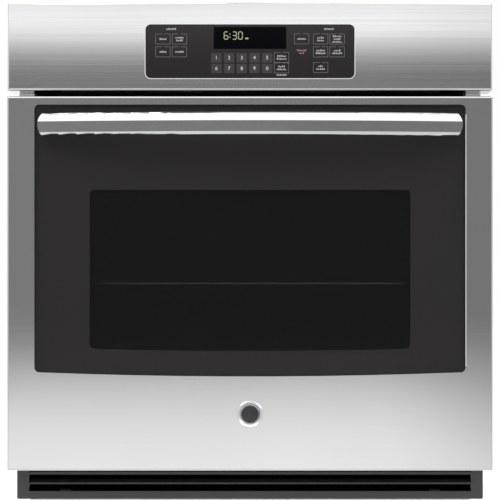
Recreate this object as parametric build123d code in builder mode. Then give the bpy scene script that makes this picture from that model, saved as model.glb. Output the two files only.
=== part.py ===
from build123d import *

from math import asin, degrees, sqrt
import os

# Built-in single electric wall oven with a drop-down door.
# Millimetres. +X to the right seen from the front, +Y into the cabinet, +Z up.
# The origin is at the middle of the overall box, on the plane that the base rails stand on.

# ---- Driving dimensions: the face ----
face_width = 679.5
panel_height = 125.1
door_height = 524.0
vent_gap = 7.6
base_height = 45.0
top_arch = 2.2

# ---- Driving dimensions: depth, from the front of the handle to the back of the junction box ----
handle_reach = 54.0
door_thickness = 44.0
door_gap = 6.0
frame_depth = 22.0
case_depth = 516.0
junction_depth = 40.0

# ---- Margins from the face's edges to what is inside them ----
case_inset = 23.75
trim_inset = 12.25
trim_width = 21.0
base_trim_inset = 8.75
glass_border = 38.4
glass_top_border = 12.0
glass_bottom_border = 132.0
glass_arch = 6.0
window_side = 76.35
window_top = 119.0
window_bottom = 35.4
window_arch = 3.0
cavity_side = 57.25
cavity_below = 55.0
cavity_above = 47.0

# ---- Oven cavity ----
cavity_depth = 460.0
cavity_corner = 20.0
liner_wall = 1.2
rack_pitch = 42.5
rack_levels = 8
rack_first = 25.0
ledge_reach = 8.0
ledge_height = 5.0

# ---- Sheet, glass and wire ----
sheet = 1.2
skin_wall = 1.0
skin_edge = 3.0
frame_wall = 1.5
outer_glass = 4.0
inner_glass = 4.0
pane_glass = 3.0
corner_radius = 7.0
element_radius = 4.0
rack_rail = 3.0
rack_bar = 2.7
rack_wire = 2.2
wire_pitch = 38.7

# ---- Clearances ----
moving_gap = 0.3
slip = 0.5
pin_fit = 0.05
screw_fit = 0.2

# ---- Hinges and latch ----
pivot_in = 14.0
pivot_up = 10.0
hinge_inset = 71.75
hinge_pin = 4.0
arm_thick = 6.0
arm_half = 6.0
hinge_wide = 16.0
hinge_tall = 150.0
latch_back = 14.0
strike_wall = 1.5

# ---- Handle ----
handle_inset = 44.75
handle_tall = 32.0
handle_deep = 16.0
handle_bow = 30.0
handle_drop = 41.0
end_sagitta = 6.6
post_wide = 14.0
post_tall = 20.0

# ---- Base and screws ----
rail_height = 14.0
screw_radius = 1.8
screw_head = 4.0
cabinet_hole = 2.25

# ---- Levels and planes worked out from those ----
door_top = base_height + door_height
panel_bottom = door_top + vent_gap
face_height = panel_bottom + panel_height
case_top_z = face_height - 18.0
overall_depth = handle_reach + door_thickness + door_gap + frame_depth + case_depth + junction_depth
y_door = -overall_depth / 2 + handle_reach
y_inner = y_door + door_thickness
y_frame = y_inner + door_gap
y_cabinet = y_frame + frame_depth
y_back = y_cabinet + case_depth
half_face = face_width / 2
half_case = half_face - case_inset
half_trim = half_face - trim_inset
half_mouth = half_face - cavity_side
floor_z = base_height + cavity_below
ceiling_z = door_top - cavity_above
y_wall = y_frame + frame_wall + cavity_depth
pivot_y = y_inner - pivot_in
pivot_z = base_height + pivot_up
hinge_x = half_face - hinge_inset
wrap_top = ceiling_z + liner_wall + 33.0
bay_floor = panel_bottom + 6.0
duct_floor = door_top - 8.0
half_glass = half_face - glass_border
glass_low = base_height + glass_bottom_border
glass_high = door_top - glass_top_border
half_window = half_glass - window_side
window_low = glass_low + window_bottom
window_high = glass_high - window_top
handle_z = door_top - handle_drop
latch_z = ceiling_z + 22.0
trim_low = base_height - 2.0
frame_half = half_trim - trim_width - 0.2
frame_top = duct_floor - 1.0
rack_heights = [floor_z + rack_first + rack_pitch * level for level in (1, 4)]

os.makedirs("parts", exist_ok=True)


def save(piece, name):
    """Label a finished piece and write its STEP file."""
    piece.part.label = name
    export_step(piece.part, f"parts/{name}.step")


def block(x, y, z, mode=Mode.ADD):
    """A box between a low and a high limit on each axis."""
    with Locations(((x[0] + x[1]) / 2, (y[0] + y[1]) / 2, (z[0] + z[1]) / 2)):
        Box(x[1] - x[0], y[1] - y[0], z[1] - z[0], mode=mode)


def rod(axis, centre, radius, length, mode=Mode.ADD):
    """A round bar along X, Y or Z, about its centre."""
    turn = {"X": (0, 90, 0), "Y": (90, 0, 0), "Z": (0, 0, 0)}[axis]
    with Locations(centre):
        Cylinder(radius, length, rotation=turn, mode=mode)


def mirrored(side, near, far):
    """The X limits of a band that lies between two distances from the middle, on one side."""
    return (near, far) if side > 0 else (-far, -near)


def upright(y):
    """The plane that faces the front at depth y, with its own X to the right and Y up."""
    return Plane(origin=(0, y, 0), x_dir=(1, 0, 0), z_dir=(0, -1, 0))


def arched_outline(half, low, high, arch):
    """A rectangle whose bottom edge sags by the arch in its middle, drawn in an open sketch."""
    with BuildLine() as outline:
        Polyline((-half, low + arch), (-half, high), (half, high), (half, low + arch))
        ThreePointArc((half, low + arch), (0, low), (-half, low + arch))
    make_face(outline.edges())


# ---- Case: sides, back, top, base and rails ----
side_front = y_frame + 15.0
screw_z = [rail_height + 40 + (case_top_z - rail_height - 80) * step / 3 for step in range(4)]
screw_x = half_case - 9.0
y_flange = y_back - 2 * sheet

for side, name in ((-1, "case_left_side"), (1, "case_right_side")):
    with BuildPart() as case_side:
        block(
            mirrored(side, half_case - sheet, half_case),
            (side_front, y_back),
            (rail_height, case_top_z - sheet),
        )
        block(
            mirrored(side, frame_half, half_case - sheet),
            (side_front, side_front + sheet),
            (trim_low + 22, frame_top),
        )
        block(
            mirrored(side, half_case - sheet, half_case),
            (side_front, y_cabinet),
            (panel_bottom - slip, case_top_z),
            Mode.SUBTRACT,
        )
        block(
            mirrored(side, half_case - 18, half_case - sheet),
            (y_flange, y_flange + sheet),
            (rail_height + sheet, case_top_z - sheet),
        )
        block(
            mirrored(side, half_case - 18, half_case - sheet),
            (y_cabinet, y_flange),
            (case_top_z - 2 * sheet, case_top_z - sheet),
        )
        for z in screw_z:
            rod("Y", (side * screw_x, y_flange, z), screw_radius + screw_fit, 20, Mode.SUBTRACT)
        for step in range(3):
            y = y_cabinet + 60 + step * (case_depth - 120) / 2
            rod("Z", (side * screw_x, y, case_top_z), screw_radius + screw_fit, 20, Mode.SUBTRACT)
    save(case_side, name)

lamp_x = -half_mouth + 70
lamp_z = ceiling_z - 70
sensor_x = half_mouth - 70
junction_x = half_case - 90
junction_z = case_top_z - 85

with BuildPart() as case_back:
    block(
        (-half_case + sheet, half_case - sheet),
        (y_back - sheet, y_back),
        (rail_height + sheet, case_top_z - sheet),
    )
    for side in (-1, 1):
        for z in screw_z:
            rod("Y", (side * screw_x, y_back, z), screw_radius + screw_fit, 20, Mode.SUBTRACT)
    rod("Y", (junction_x, y_back, junction_z), 14, 20, Mode.SUBTRACT)
    for row in range(5):
        block(
            (-150, 150),
            (y_back - 5, y_back + 5),
            (case_top_z - 90 + 12 * row, case_top_z - 85 + 12 * row),
            Mode.SUBTRACT,
        )
save(case_back, "case_back")

with BuildPart() as case_top:
    block((-half_case, half_case), (y_cabinet, y_back), (case_top_z - sheet, case_top_z))
    for side in (-1, 1):
        for step in range(3):
            y = y_cabinet + 60 + step * (case_depth - 120) / 2
            rod("Z", (side * screw_x, y, case_top_z), screw_radius + screw_fit, 20, Mode.SUBTRACT)
save(case_top, "case_top")

with BuildPart() as case_base:
    block(
        (-half_case + sheet, half_case - sheet),
        (y_cabinet, y_flange - slip),
        (rail_height, rail_height + sheet),
    )
    block(
        (-half_case + 20, half_case - 20),
        (y_cabinet, y_cabinet + sheet),
        (rail_height + sheet, rail_height + 16),
    )
save(case_base, "case_base")

with BuildPart() as base_rails:
    for side in (-1, 1):
        block(
            mirrored(side, half_case - 90, half_case - 50),
            (y_cabinet + 4, y_back - 20),
            (0, rail_height),
        )
        block(
            mirrored(side, half_case - 88, half_case - 52),
            (y_cabinet + 2, y_back),
            (1.5, rail_height - 1.5),
            Mode.SUBTRACT,
        )
save(base_rails, "base_rails")

with BuildPart() as case_screws:
    for side in (-1, 1):
        for z in screw_z:
            rod("Y", (side * screw_x, y_back + 1.25, z), screw_head, 2.5)
            rod("Y", (side * screw_x, y_back - 4, z), screw_radius, 8)
            block(
                (side * screw_x - 3, side * screw_x + 3),
                (y_back + 1.5, y_back + 3),
                (z - 0.5, z + 0.5),
                Mode.SUBTRACT,
            )
        for step in range(3):
            y = y_cabinet + 60 + step * (case_depth - 120) / 2
            rod("Z", (side * screw_x, y, case_top_z + 1.25), screw_head, 2.5)
            rod("Z", (side * screw_x, y, case_top_z - 4), screw_radius, 8)
save(case_screws, "case_screws")

# ---- Front: side trims, front frame and base trim ----
hole_x = half_trim - 5.0
hole_rows = (floor_z + 20, door_top - 60)

for side, name in ((-1, "side_trim_left"), (1, "side_trim_right")):
    with BuildPart() as side_trim:
        block(
            mirrored(side, half_trim - trim_width, half_trim),
            (y_frame, y_frame + frame_wall),
            (trim_low, panel_bottom - slip),
        )
        block(
            mirrored(side, half_trim - frame_wall, half_trim),
            (y_frame, y_cabinet),
            (trim_low, panel_bottom - slip),
        )
        block(
            mirrored(side, half_case + 0.8, half_trim),
            (y_cabinet - frame_wall, y_cabinet),
            (trim_low, panel_bottom - slip),
        )
        for z in hole_rows:
            rod("Y", (side * hole_x, y_frame, z), cabinet_hole, 60, Mode.SUBTRACT)
    save(side_trim, name)

arm_slot = 5.0
latch_slot = (-6.0, 10.2)
latch_slot_z = (latch_z - 4.0, latch_z + 6.0)
plunger_x = -60.0
plunger_radius = 3.0

with BuildPart() as front_frame:
    block((-frame_half, frame_half), (y_frame, y_frame + frame_wall), (base_height - 1, frame_top))
    with BuildSketch(upright(y_frame + frame_wall)) as mouth:
        with Locations((0, (floor_z + ceiling_z) / 2)):
            RectangleRounded(2 * half_mouth, ceiling_z - floor_z, cavity_corner)
    extrude(amount=10, both=True, mode=Mode.SUBTRACT)
    for side in (-1, 1):
        block(
            (side * hinge_x - arm_slot, side * hinge_x + arm_slot),
            (y_frame - 1, y_frame + 5),
            (pivot_z - 9, pivot_z + 9),
            Mode.SUBTRACT,
        )
        block(
            mirrored(side, frame_half - frame_wall, frame_half),
            (y_frame + frame_wall, y_frame + 16),
            (base_height + 20, frame_top),
        )
    block(latch_slot, (y_frame - 1, y_frame + 5), latch_slot_z, Mode.SUBTRACT)
    rod("Y", (plunger_x, y_frame, latch_z), plunger_radius + moving_gap, 20, Mode.SUBTRACT)
save(front_frame, "front_frame")

half_base = half_face - base_trim_inset
base_member = 17.0
base_top = base_height - 2.0

with BuildPart() as base_trim:
    for side in (-1, 1):
        block(mirrored(side, half_base - base_member, half_base), (y_frame, y_frame + 2), (0, base_top))
        block(mirrored(side, half_base - 2, half_base), (y_frame, y_cabinet - 4), (0, base_top))
        block(mirrored(side, half_case - 60, half_case - 45), (y_frame + 12, y_cabinet), (2, 12))
    block((-half_base, half_base), (y_frame, y_frame + 2), (0, 11))
    block((-half_base, half_base), (y_frame, y_frame + 14), (0, 2))
    for z, tall in ((21.0, 2.2), (34.5, 4.0)):
        with BuildSketch(Plane.YZ.offset(-half_base + 1)):
            with BuildLine():
                Polyline(
                    (y_frame + 1, z),
                    (y_frame + 13, z + 4),
                    (y_frame + 13, z + 4 + tall),
                    (y_frame + 1, z + tall),
                    close=True,
                )
            make_face()
        extrude(amount=2 * half_base - 2)
    chamfer(base_trim.edges().filter_by(Axis.Y).group_by(Axis.Z)[0].group_by(Axis.X)[0], length=1.5)
    chamfer(base_trim.edges().filter_by(Axis.Y).group_by(Axis.Z)[0].group_by(Axis.X)[-1], length=1.5)
save(base_trim, "base_trim")

# ---- Cavity liner with its rack ledges ----
wall_plane = upright(y_wall)
vent_x = 150.0
vent_y = y_wall - 130.0
vent_radius = 12.0
runs = [-210.0 + 60.0 * step for step in range(8)]
run_scale = half_mouth / 282.5
runs = [x * run_scale for x in runs]
broil_z = ceiling_z - 22.0
bake_z = floor_z - 12.0

with BuildPart() as oven_liner:
    with BuildSketch(upright(y_frame + frame_wall)):
        with Locations((0, (floor_z + ceiling_z) / 2)):
            RectangleRounded(2 * (half_mouth + 12), ceiling_z - floor_z + 24, cavity_corner + 12)
    extrude(amount=-liner_wall)
    with BuildSketch(upright(y_frame + frame_wall)):
        with Locations((0, (floor_z + ceiling_z) / 2)):
            RectangleRounded(
                2 * (half_mouth + liner_wall),
                ceiling_z - floor_z + 2 * liner_wall,
                cavity_corner + liner_wall,
            )
    extrude(amount=-cavity_depth - liner_wall)
    with BuildSketch(upright(y_frame + frame_wall)):
        with Locations((0, (floor_z + ceiling_z) / 2)):
            RectangleRounded(2 * half_mouth, ceiling_z - floor_z, cavity_corner)
    extrude(amount=-cavity_depth, mode=Mode.SUBTRACT)
    for side in (-1, 1):
        for level in range(rack_levels):
            z = floor_z + rack_first + rack_pitch * level
            if z < ceiling_z - 60:
                block(
                    mirrored(side, half_mouth - ledge_reach, half_mouth),
                    (y_frame + 34, y_wall - 20),
                    (z - ledge_height, z + ledge_height),
                )
        rod("Y", (side * runs[-1], y_wall, broil_z), element_radius + 1, 20, Mode.SUBTRACT)
    rod("Z", (vent_x, vent_y, ceiling_z), vent_radius, 20, Mode.SUBTRACT)
    rod("Y", (lamp_x, y_wall, lamp_z), 30, 20, Mode.SUBTRACT)
    rod("Y", (sensor_x, y_wall, lamp_z), 4, 20, Mode.SUBTRACT)
save(oven_liner, "oven_liner")

# ---- Insulation around the liner ----
wrap_front = y_frame + 46.0
wrap_back = y_wall + 36.0
wrap_low = floor_z - 58.0
recess_low = floor_z - 20.0

with BuildPart() as insulation_wrap:
    block((-half_case + 2, half_case - 2), (wrap_front, wrap_back), (wrap_low, wrap_top))
    block(
        (-half_mouth - 2, half_mouth + 2),
        (wrap_front - 1, y_wall + 2),
        (recess_low, ceiling_z + 2),
        Mode.SUBTRACT,
    )
    rod("Z", (vent_x, vent_y, wrap_top), vent_radius + 4, 90, Mode.SUBTRACT)
    rod("Y", (lamp_x, y_wall, lamp_z), 34, 100, Mode.SUBTRACT)
    rod("Y", (sensor_x, y_wall, lamp_z), 8, 100, Mode.SUBTRACT)
    for side in (-1, 1):
        rod("Y", (side * runs[-1], y_wall, broil_z), element_radius + 4, 100, Mode.SUBTRACT)
        rod("Y", (side * runs[-1], y_wall, bake_z), element_radius + 4, 100, Mode.SUBTRACT)
save(insulation_wrap, "insulation_wrap")

# ---- Door gasket ----
gasket_wide = 12.0
gasket_out = 3.0

with BuildPart() as oven_gasket:
    with BuildSketch(upright(y_frame)):
        with Locations((0, (floor_z + ceiling_z) / 2)):
            RectangleRounded(
                2 * (half_mouth + gasket_out + gasket_wide),
                ceiling_z - floor_z + 2 * (gasket_out + gasket_wide),
                cavity_corner + gasket_out + gasket_wide,
            )
            RectangleRounded(
                2 * (half_mouth + gasket_out),
                ceiling_z - floor_z + 2 * gasket_out,
                cavity_corner + gasket_out,
                mode=Mode.SUBTRACT,
            )
    extrude(amount=door_gap - moving_gap)
save(oven_gasket, "oven_gasket")


# ---- Heating elements ----
def serpentine(piece_runs, y_front, y_turn, y_end, z):
    """The path of a bent element: runs along Y joined by round bends, with both tails at the back."""
    points = [(piece_runs[0], y_end)]
    for step, x in enumerate(piece_runs):
        near, far = (y_turn, y_front) if step % 2 == 0 else (y_front, y_turn)
        if step > 0:
            points.append((x, near))
        if step < len(piece_runs) - 1:
            points.append((x, far))
    points.append((piece_runs[-1], y_end))
    bend = (piece_runs[1] - piece_runs[0]) / 2 - 1
    with BuildLine(Plane.XY.offset(z)) as route:
        FilletPolyline(*points, radius=bend)
    return route.wires()[0]


with BuildPart() as broil_element:
    with BuildSketch(Plane(origin=(runs[0], y_wall + 60, broil_z), z_dir=(0, -1, 0))):
        Circle(element_radius)
    sweep(path=serpentine(runs, y_frame + 70, y_wall - 50, y_wall + 60, broil_z))
save(broil_element, "broil_element")

with BuildPart() as bake_element:
    bake_runs = [runs[0], runs[0] / 3, runs[-1] / 3, runs[-1]]
    with BuildSketch(Plane(origin=(bake_runs[0], y_wall + 60, bake_z), z_dir=(0, -1, 0))):
        Circle(element_radius)
    sweep(path=serpentine(bake_runs, y_frame + 110, y_wall - 60, y_wall + 60, bake_z))
save(bake_element, "bake_element")

with BuildPart() as broil_hangers:
    for y in (y_frame + 130, y_wall - 110):
        block(
            (runs[0] - 12, runs[-1] + 12),
            (y - 7, y + 7),
            (broil_z + element_radius + 0.1, broil_z + element_radius + 2.1),
        )
        for x in (runs[0] / 2, runs[-1] / 2):
            block((x - 6, x + 6), (y - 1, y + 1), (broil_z + element_radius + 0.1, ceiling_z))
save(broil_hangers, "broil_hangers")

# ---- Temperature sensor and oven lamp ----
with BuildPart() as temperature_sensor:
    rod("Y", (sensor_x, y_wall - 40, lamp_z), 3, 90)
    rod("Y", (sensor_x, y_wall - 1, lamp_z), 9, 2)
    rod("Y", (sensor_x, y_wall + 25, lamp_z), 3, 50)
save(temperature_sensor, "temperature_sensor")

with BuildPart() as lamp_socket:
    rod("Y", (lamp_x, y_wall + 20.1, lamp_z), 29.5, 39.8)
    rod("Y", (lamp_x, y_wall + 15, lamp_z), 27.5, 40, Mode.SUBTRACT)
    rod("Y", (lamp_x, y_wall + 50, lamp_z), 14, 26)
    rod("Y", (lamp_x, y_wall + 41, lamp_z), 7.5, 22, Mode.SUBTRACT)
save(lamp_socket, "lamp_socket")

with BuildPart() as lamp_bulb:
    with BuildSketch(Plane.YZ.offset(lamp_x)):
        with BuildLine():
            Line((y_wall - 5, lamp_z), (y_wall + 50, lamp_z))
            Line((y_wall + 50, lamp_z), (y_wall + 50, lamp_z + 7))
            Line((y_wall + 50, lamp_z + 7), (y_wall + 34, lamp_z + 7))
            Spline(
                (y_wall + 34, lamp_z + 7),
                (y_wall + 10, lamp_z + 15),
                (y_wall - 5, lamp_z),
                tangents=[(-1, 0.3), (0, -1)],
            )
        make_face()
    revolve(axis=Axis((lamp_x, 0, lamp_z), (0, 1, 0)))
save(lamp_bulb, "lamp_bulb")

with BuildPart() as lamp_lens:
    rod("Y", (lamp_x, y_wall - 8, lamp_z), 32, 16)
    fillet(lamp_lens.edges().sort_by(Axis.Y)[0], radius=8)
    rod("Y", (lamp_x, y_wall - 7 + 3, lamp_z), 27, 16, Mode.SUBTRACT)
save(lamp_lens, "lamp_lens")

# ---- Cooling air: vent tube, duct, blower ----
blower_y = y_frame + 330.0
blower_z = bay_floor + 2.0
wheel_radius = 58.0
scroll_radius = 76.0
scroll_tall = 50.0
duct_back = blower_y - 100.0
duct_spread = y_frame + 150.0
mouth_top = panel_bottom - 0.2
half_duct = half_trim - trim_width - 4.0

with BuildPart() as oven_vent_tube:
    rod(
        "Z",
        (vent_x, vent_y, (ceiling_z + liner_wall + duct_floor) / 2),
        vent_radius,
        duct_floor - ceiling_z - liner_wall,
    )
    rod("Z", (vent_x, vent_y, (ceiling_z + duct_floor) / 2), vent_radius - 1.5, 200, Mode.SUBTRACT)
save(oven_vent_tube, "oven_vent_tube")


def duct_body(wall):
    """The duct's outer form, or with a wall its inside: a fan from the blower to the wide mouth."""
    throat = 60.0 - wall
    reach = 5.0 if wall else 0.0
    y_mouth = y_frame + 2 - reach
    with BuildPart() as body:
        with BuildSketch(Plane.XY.offset(duct_floor - 20)):
            with BuildLine():
                Polyline(
                    (-half_duct + wall, y_mouth),
                    (half_duct - wall, y_mouth),
                    (half_duct - wall, duct_spread),
                    (throat, duct_back + reach),
                    (-throat, duct_back + reach),
                    (-half_duct + wall, duct_spread),
                    close=True,
                )
            make_face()
        extrude(amount=140)
        with BuildSketch(Plane.YZ.offset(-half_duct)):
            with BuildLine():
                Polyline(
                    (y_mouth, duct_floor + wall),
                    (duct_back + reach, duct_floor + wall),
                    (duct_back + reach, blower_z + scroll_tall - wall),
                    (duct_spread, mouth_top - wall),
                    (y_mouth, mouth_top - wall),
                    close=True,
                )
            make_face()
        extrude(amount=2 * half_duct, mode=Mode.INTERSECT)
    return body.part


duct_outside = duct_body(0)
duct_inside = duct_body(1.2)
with BuildPart() as air_duct:
    add(duct_outside)
    add(duct_inside, mode=Mode.SUBTRACT)
    rod("Z", (vent_x, vent_y, duct_floor), vent_radius - 1.5, 10, Mode.SUBTRACT)
save(air_duct, "air_duct")

with BuildPart() as blower_housing:
    rod("Z", (0, blower_y, blower_z + scroll_tall / 2), scroll_radius, scroll_tall)
    block((-60, 60), (duct_back, blower_y - 20), (blower_z, blower_z + scroll_tall))
    rod(
        "Z",
        (0, blower_y, blower_z + scroll_tall / 2),
        scroll_radius - 1.5,
        scroll_tall - 3,
        Mode.SUBTRACT,
    )
    block(
        (-58.5, 58.5),
        (duct_back - 5, blower_y - 20),
        (blower_z + 1.5, blower_z + scroll_tall - 1.5),
        Mode.SUBTRACT,
    )
    rod("Z", (0, blower_y, blower_z), 40, 10, Mode.SUBTRACT)
    rod("Z", (0, blower_y, blower_z + scroll_tall), 8, 10, Mode.SUBTRACT)
save(blower_housing, "blower_housing")

motor_low = blower_z + scroll_tall
shaft_radius = 3.0
with BuildPart() as fan_motor:
    block((-26, 26), (blower_y - 34, blower_y + 22), (motor_low + 4, motor_low + 24))
    rod("Z", (0, blower_y, motor_low + 14), 16, 28)
    rod("Z", (0, blower_y, motor_low + 1.0), 7.5, 6)
    for x in (-22, 22):
        rod("Z", (x, blower_y + 12, motor_low + 3), 4, 6)
    rod("Z", (0, blower_y, blower_z + scroll_tall / 2 + 8), shaft_radius, scroll_tall - 14)
save(fan_motor, "fan_motor")

with BuildPart() as fan_wheel:
    wheel_low = blower_z + 6.0
    wheel_tall = 34.0
    rod("Z", (0, blower_y, wheel_low + 1), wheel_radius, 2)
    rod("Z", (0, blower_y, wheel_low + 1), 30, 10, Mode.SUBTRACT)
    rod("Z", (0, blower_y, wheel_low + wheel_tall - 1), wheel_radius, 2)
    rod("Z", (0, blower_y, wheel_low + wheel_tall - 10), 9, 20)
    with Locations((0, blower_y, wheel_low + wheel_tall / 2)):
        with PolarLocations(wheel_radius - 8, 24):
            Box(14, 1.2, wheel_tall, rotation=(0, 0, 25))
    rod("Z", (0, blower_y, wheel_low + wheel_tall / 2), shaft_radius + pin_fit, 60, Mode.SUBTRACT)
save(fan_wheel, "fan_wheel")

with BuildPart() as thermal_cutout:
    rod("Z", (-120, y_wall - 60, wrap_top + 1), 12, 2)
    rod("Z", (-120, y_wall - 60, wrap_top + 6), 8, 10)
    for x in (-124, -116):
        block((x - 0.5, x + 0.5), (y_wall - 63, y_wall - 57), (wrap_top + 10, wrap_top + 18))
save(thermal_cutout, "thermal_cutout")

# ---- Control panel ----
half_panel = half_face - 0.75
y_panel = y_door + 1.0
key_glass_wide = 293.0
key_glass_tall = 76.0
key_glass_z = panel_bottom + panel_height - 70.2
key_glass_corner = 7.5

with BuildPart() as control_skin:
    with BuildSketch(upright(y_cabinet)):
        with BuildLine():
            Polyline(
                (-half_panel, face_height - top_arch),
                (-half_panel, panel_bottom),
                (half_panel, panel_bottom),
                (half_panel, face_height - top_arch),
            )
            ThreePointArc(
                (half_panel, face_height - top_arch),
                (0, face_height),
                (-half_panel, face_height - top_arch),
            )
        make_face()
    extrude(amount=y_cabinet - y_panel)
    front_edges = control_skin.faces().sort_by(Axis.Y)[0].edges()
    fillet(front_edges, radius=skin_edge)
    with BuildSketch(upright(y_cabinet)):
        with Locations((0, (panel_bottom + face_height - top_arch) / 2)):
            Rectangle(2 * (half_panel - 2 * skin_wall), panel_height - top_arch - 4 * skin_wall)
    extrude(amount=y_cabinet - y_panel - 2 * skin_wall, mode=Mode.SUBTRACT)
    with BuildSketch(upright(y_panel)):
        with Locations((0, key_glass_z)):
            RectangleRounded(key_glass_wide, key_glass_tall, key_glass_corner)
    extrude(amount=20, both=True, mode=Mode.SUBTRACT)
save(control_skin, "control_skin")

with BuildPart() as control_glass:
    with BuildSketch(upright(y_panel + 4)):
        with Locations((0, key_glass_z)):
            RectangleRounded(key_glass_wide - slip, key_glass_tall - slip, key_glass_corner - slip / 2)
    extrude(amount=4.4)
    fillet(control_glass.faces().sort_by(Axis.Y)[0].edges(), radius=0.8)
save(control_glass, "control_glass")

display_z = panel_bottom + panel_height - 52.5
board_y = y_panel + 24.0
with BuildPart() as display_module:
    block((-54, 54), (y_panel + 4.2, y_panel + 14), (display_z - 18, display_z + 18))
    block((-40, 40), (y_panel + 14, board_y), (display_z - 4, display_z + 4))
save(display_module, "display_module")

with BuildPart() as control_board:
    block((-150, 150), (board_y, board_y + 1.6), (panel_bottom + 20, panel_bottom + 106))
    for x in (-120, -96, -72, -48):
        block((x - 10, x + 10), (board_y + 1.6, board_y + 18), (panel_bottom + 30, panel_bottom + 45))
    block((60, 104), (board_y + 1.6, board_y + 26), (panel_bottom + 34, panel_bottom + 74))
    block((-20, 20), (board_y + 1.6, board_y + 10), (panel_bottom + 88, panel_bottom + 98))
    for x in (118, 134):
        rod("Y", (x, board_y + 11, panel_bottom + 60), 6, 20)
save(control_board, "control_board")

with BuildPart() as control_chassis:
    tray_half = half_panel - 14
    tray_y = board_y + 30
    tray_z = (panel_bottom + 6, face_height - 14)
    block((-tray_half, tray_half), (tray_y, tray_y + sheet), tray_z)
    block((-tray_half, tray_half), (y_panel + 6, tray_y), (tray_z[1] - sheet, tray_z[1]))
    for side in (-1, 1):
        block(mirrored(side, 158, 158 + sheet), (y_panel + 6, tray_y), (tray_z[0], tray_z[1] - sheet))
        block(
            mirrored(side, tray_half - sheet, tray_half),
            (y_panel + 6, tray_y),
            (tray_z[0], tray_z[1] - sheet),
        )
        block(
            mirrored(side, 146, 158),
            (board_y + 1.7, board_y + 2.9),
            (panel_bottom + 24, panel_bottom + 102),
        )
save(control_chassis, "control_chassis")

# ---- Wiring side: terminal block, junction box and conduit gland ----
with BuildPart() as terminal_block:
    block(
        (junction_x - 40, junction_x + 40),
        (y_back - 34, y_back - sheet),
        (junction_z - 52, junction_z - 24),
    )
    for x in (-26, 0, 26):
        rod("Z", (junction_x + x, y_back - 22, junction_z - 24), 5, 10)
    for x in (-13, 13):
        block(
            (junction_x + x - 1, junction_x + x + 1),
            (y_back - 34, y_back - 4),
            (junction_z - 24, junction_z - 16),
        )
save(terminal_block, "terminal_block")

gland_bore = 11.0
with BuildPart() as junction_box:
    block(
        (junction_x - 45, junction_x + 45),
        (y_back, y_back + junction_depth),
        (junction_z - 45, junction_z + 45),
    )
    fillet(junction_box.edges().filter_by(Axis.X).group_by(Axis.Y)[-1], radius=4)
    block(
        (junction_x - 43.5, junction_x + 43.5),
        (y_back - 1, y_back + junction_depth - 1.5),
        (junction_z - 43.5, junction_z + 43.5),
        Mode.SUBTRACT,
    )
    rod("Z", (junction_x, y_back + 20, junction_z - 45), 13.2, 10, Mode.SUBTRACT)
save(junction_box, "junction_box")

with BuildPart() as conduit_gland:
    rod("Z", (junction_x, y_back + 20, junction_z - 48), 13, 16)
    rod("Z", (junction_x, y_back + 20, junction_z - 51.5), 16, 13)
    block(
        (junction_x + 12, junction_x + 18),
        (y_back + 15, y_back + 25),
        (junction_z - 57, junction_z - 48),
    )
    rod("Z", (junction_x, y_back + 20, junction_z - 50), gland_bore, 60, Mode.SUBTRACT)
save(conduit_gland, "conduit_gland")

# ---- Door latch and door switch ----
pivot_latch_y = y_frame + latch_back
hook_thick = 3.0
with BuildPart() as latch_motor:
    block((-30, 44), (y_frame + 4, y_frame + 44), (latch_z - 5, latch_z - 3.5))
    rod("Z", (0, pivot_latch_y, latch_z + 1), 3, 9)
    block((14, 42), (y_frame + 24, y_frame + 42), (latch_z - 3.5, latch_z + 10))
    rod("Z", (28, y_frame + 33, latch_z + 11), 8, 3)
save(latch_motor, "latch_motor")

hook_tip = y_inner - 12.0
with BuildPart() as latch_hook:
    rod("Z", (0, pivot_latch_y, latch_z), 8, hook_thick)
    block((-3, 3), (hook_tip, pivot_latch_y), (latch_z - hook_thick / 2, latch_z + hook_thick / 2))
    block((-3, 9), (hook_tip, hook_tip + 5), (latch_z - hook_thick / 2, latch_z + hook_thick / 2))
    rod("Z", (0, pivot_latch_y, latch_z), 3 + pin_fit, 10, Mode.SUBTRACT)
save(latch_hook, "latch_hook")

with BuildPart() as door_switch:
    block(
        (plunger_x - 9, plunger_x + 9),
        (y_frame + frame_wall, y_frame + 34),
        (latch_z - 10, latch_z + 8),
    )
    rod("Y", (plunger_x, y_frame + 10, latch_z), plunger_radius + moving_gap, 24, Mode.SUBTRACT)
save(door_switch, "door_switch")

with BuildPart() as switch_plunger:
    rod(
        "Y",
        (plunger_x, (y_inner + moving_gap + y_frame + 16) / 2, latch_z),
        plunger_radius,
        y_frame + 16 - y_inner - moving_gap,
    )
    fillet(switch_plunger.edges().sort_by(Axis.Y)[0], radius=1.5)
save(switch_plunger, "switch_plunger")

# ---- Door hinges: the fixed arms and their receivers ----
with BuildPart() as hinge_receivers:
    for side in (-1, 1):
        block(
            (side * hinge_x - 7.5, side * hinge_x + 7.5),
            (y_frame + frame_wall, y_frame + 42),
            (pivot_z - 10, pivot_z + 10),
        )
        block(
            (side * hinge_x - 5, side * hinge_x + 5),
            (y_frame, y_frame + 50),
            (pivot_z - 8, pivot_z + 8),
            Mode.SUBTRACT,
        )
save(hinge_receivers, "hinge_receivers")

with BuildPart() as hinge_arms:
    for side in (-1, 1):
        x = side * hinge_x
        rod("X", (x, pivot_y, pivot_z), 8, arm_thick)
        block(
            (x - arm_thick / 2, x + arm_thick / 2),
            (pivot_y, y_frame + 34),
            (pivot_z - arm_half, pivot_z + arm_half),
        )
        block((x - 4, x + 4), (y_frame + 14, y_frame + 20), (pivot_z - 7, pivot_z - 3), Mode.SUBTRACT)
        rod("X", (x, pivot_y, pivot_z), hinge_pin + pin_fit, 20, Mode.SUBTRACT)
save(hinge_arms, "hinge_arms")

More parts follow.
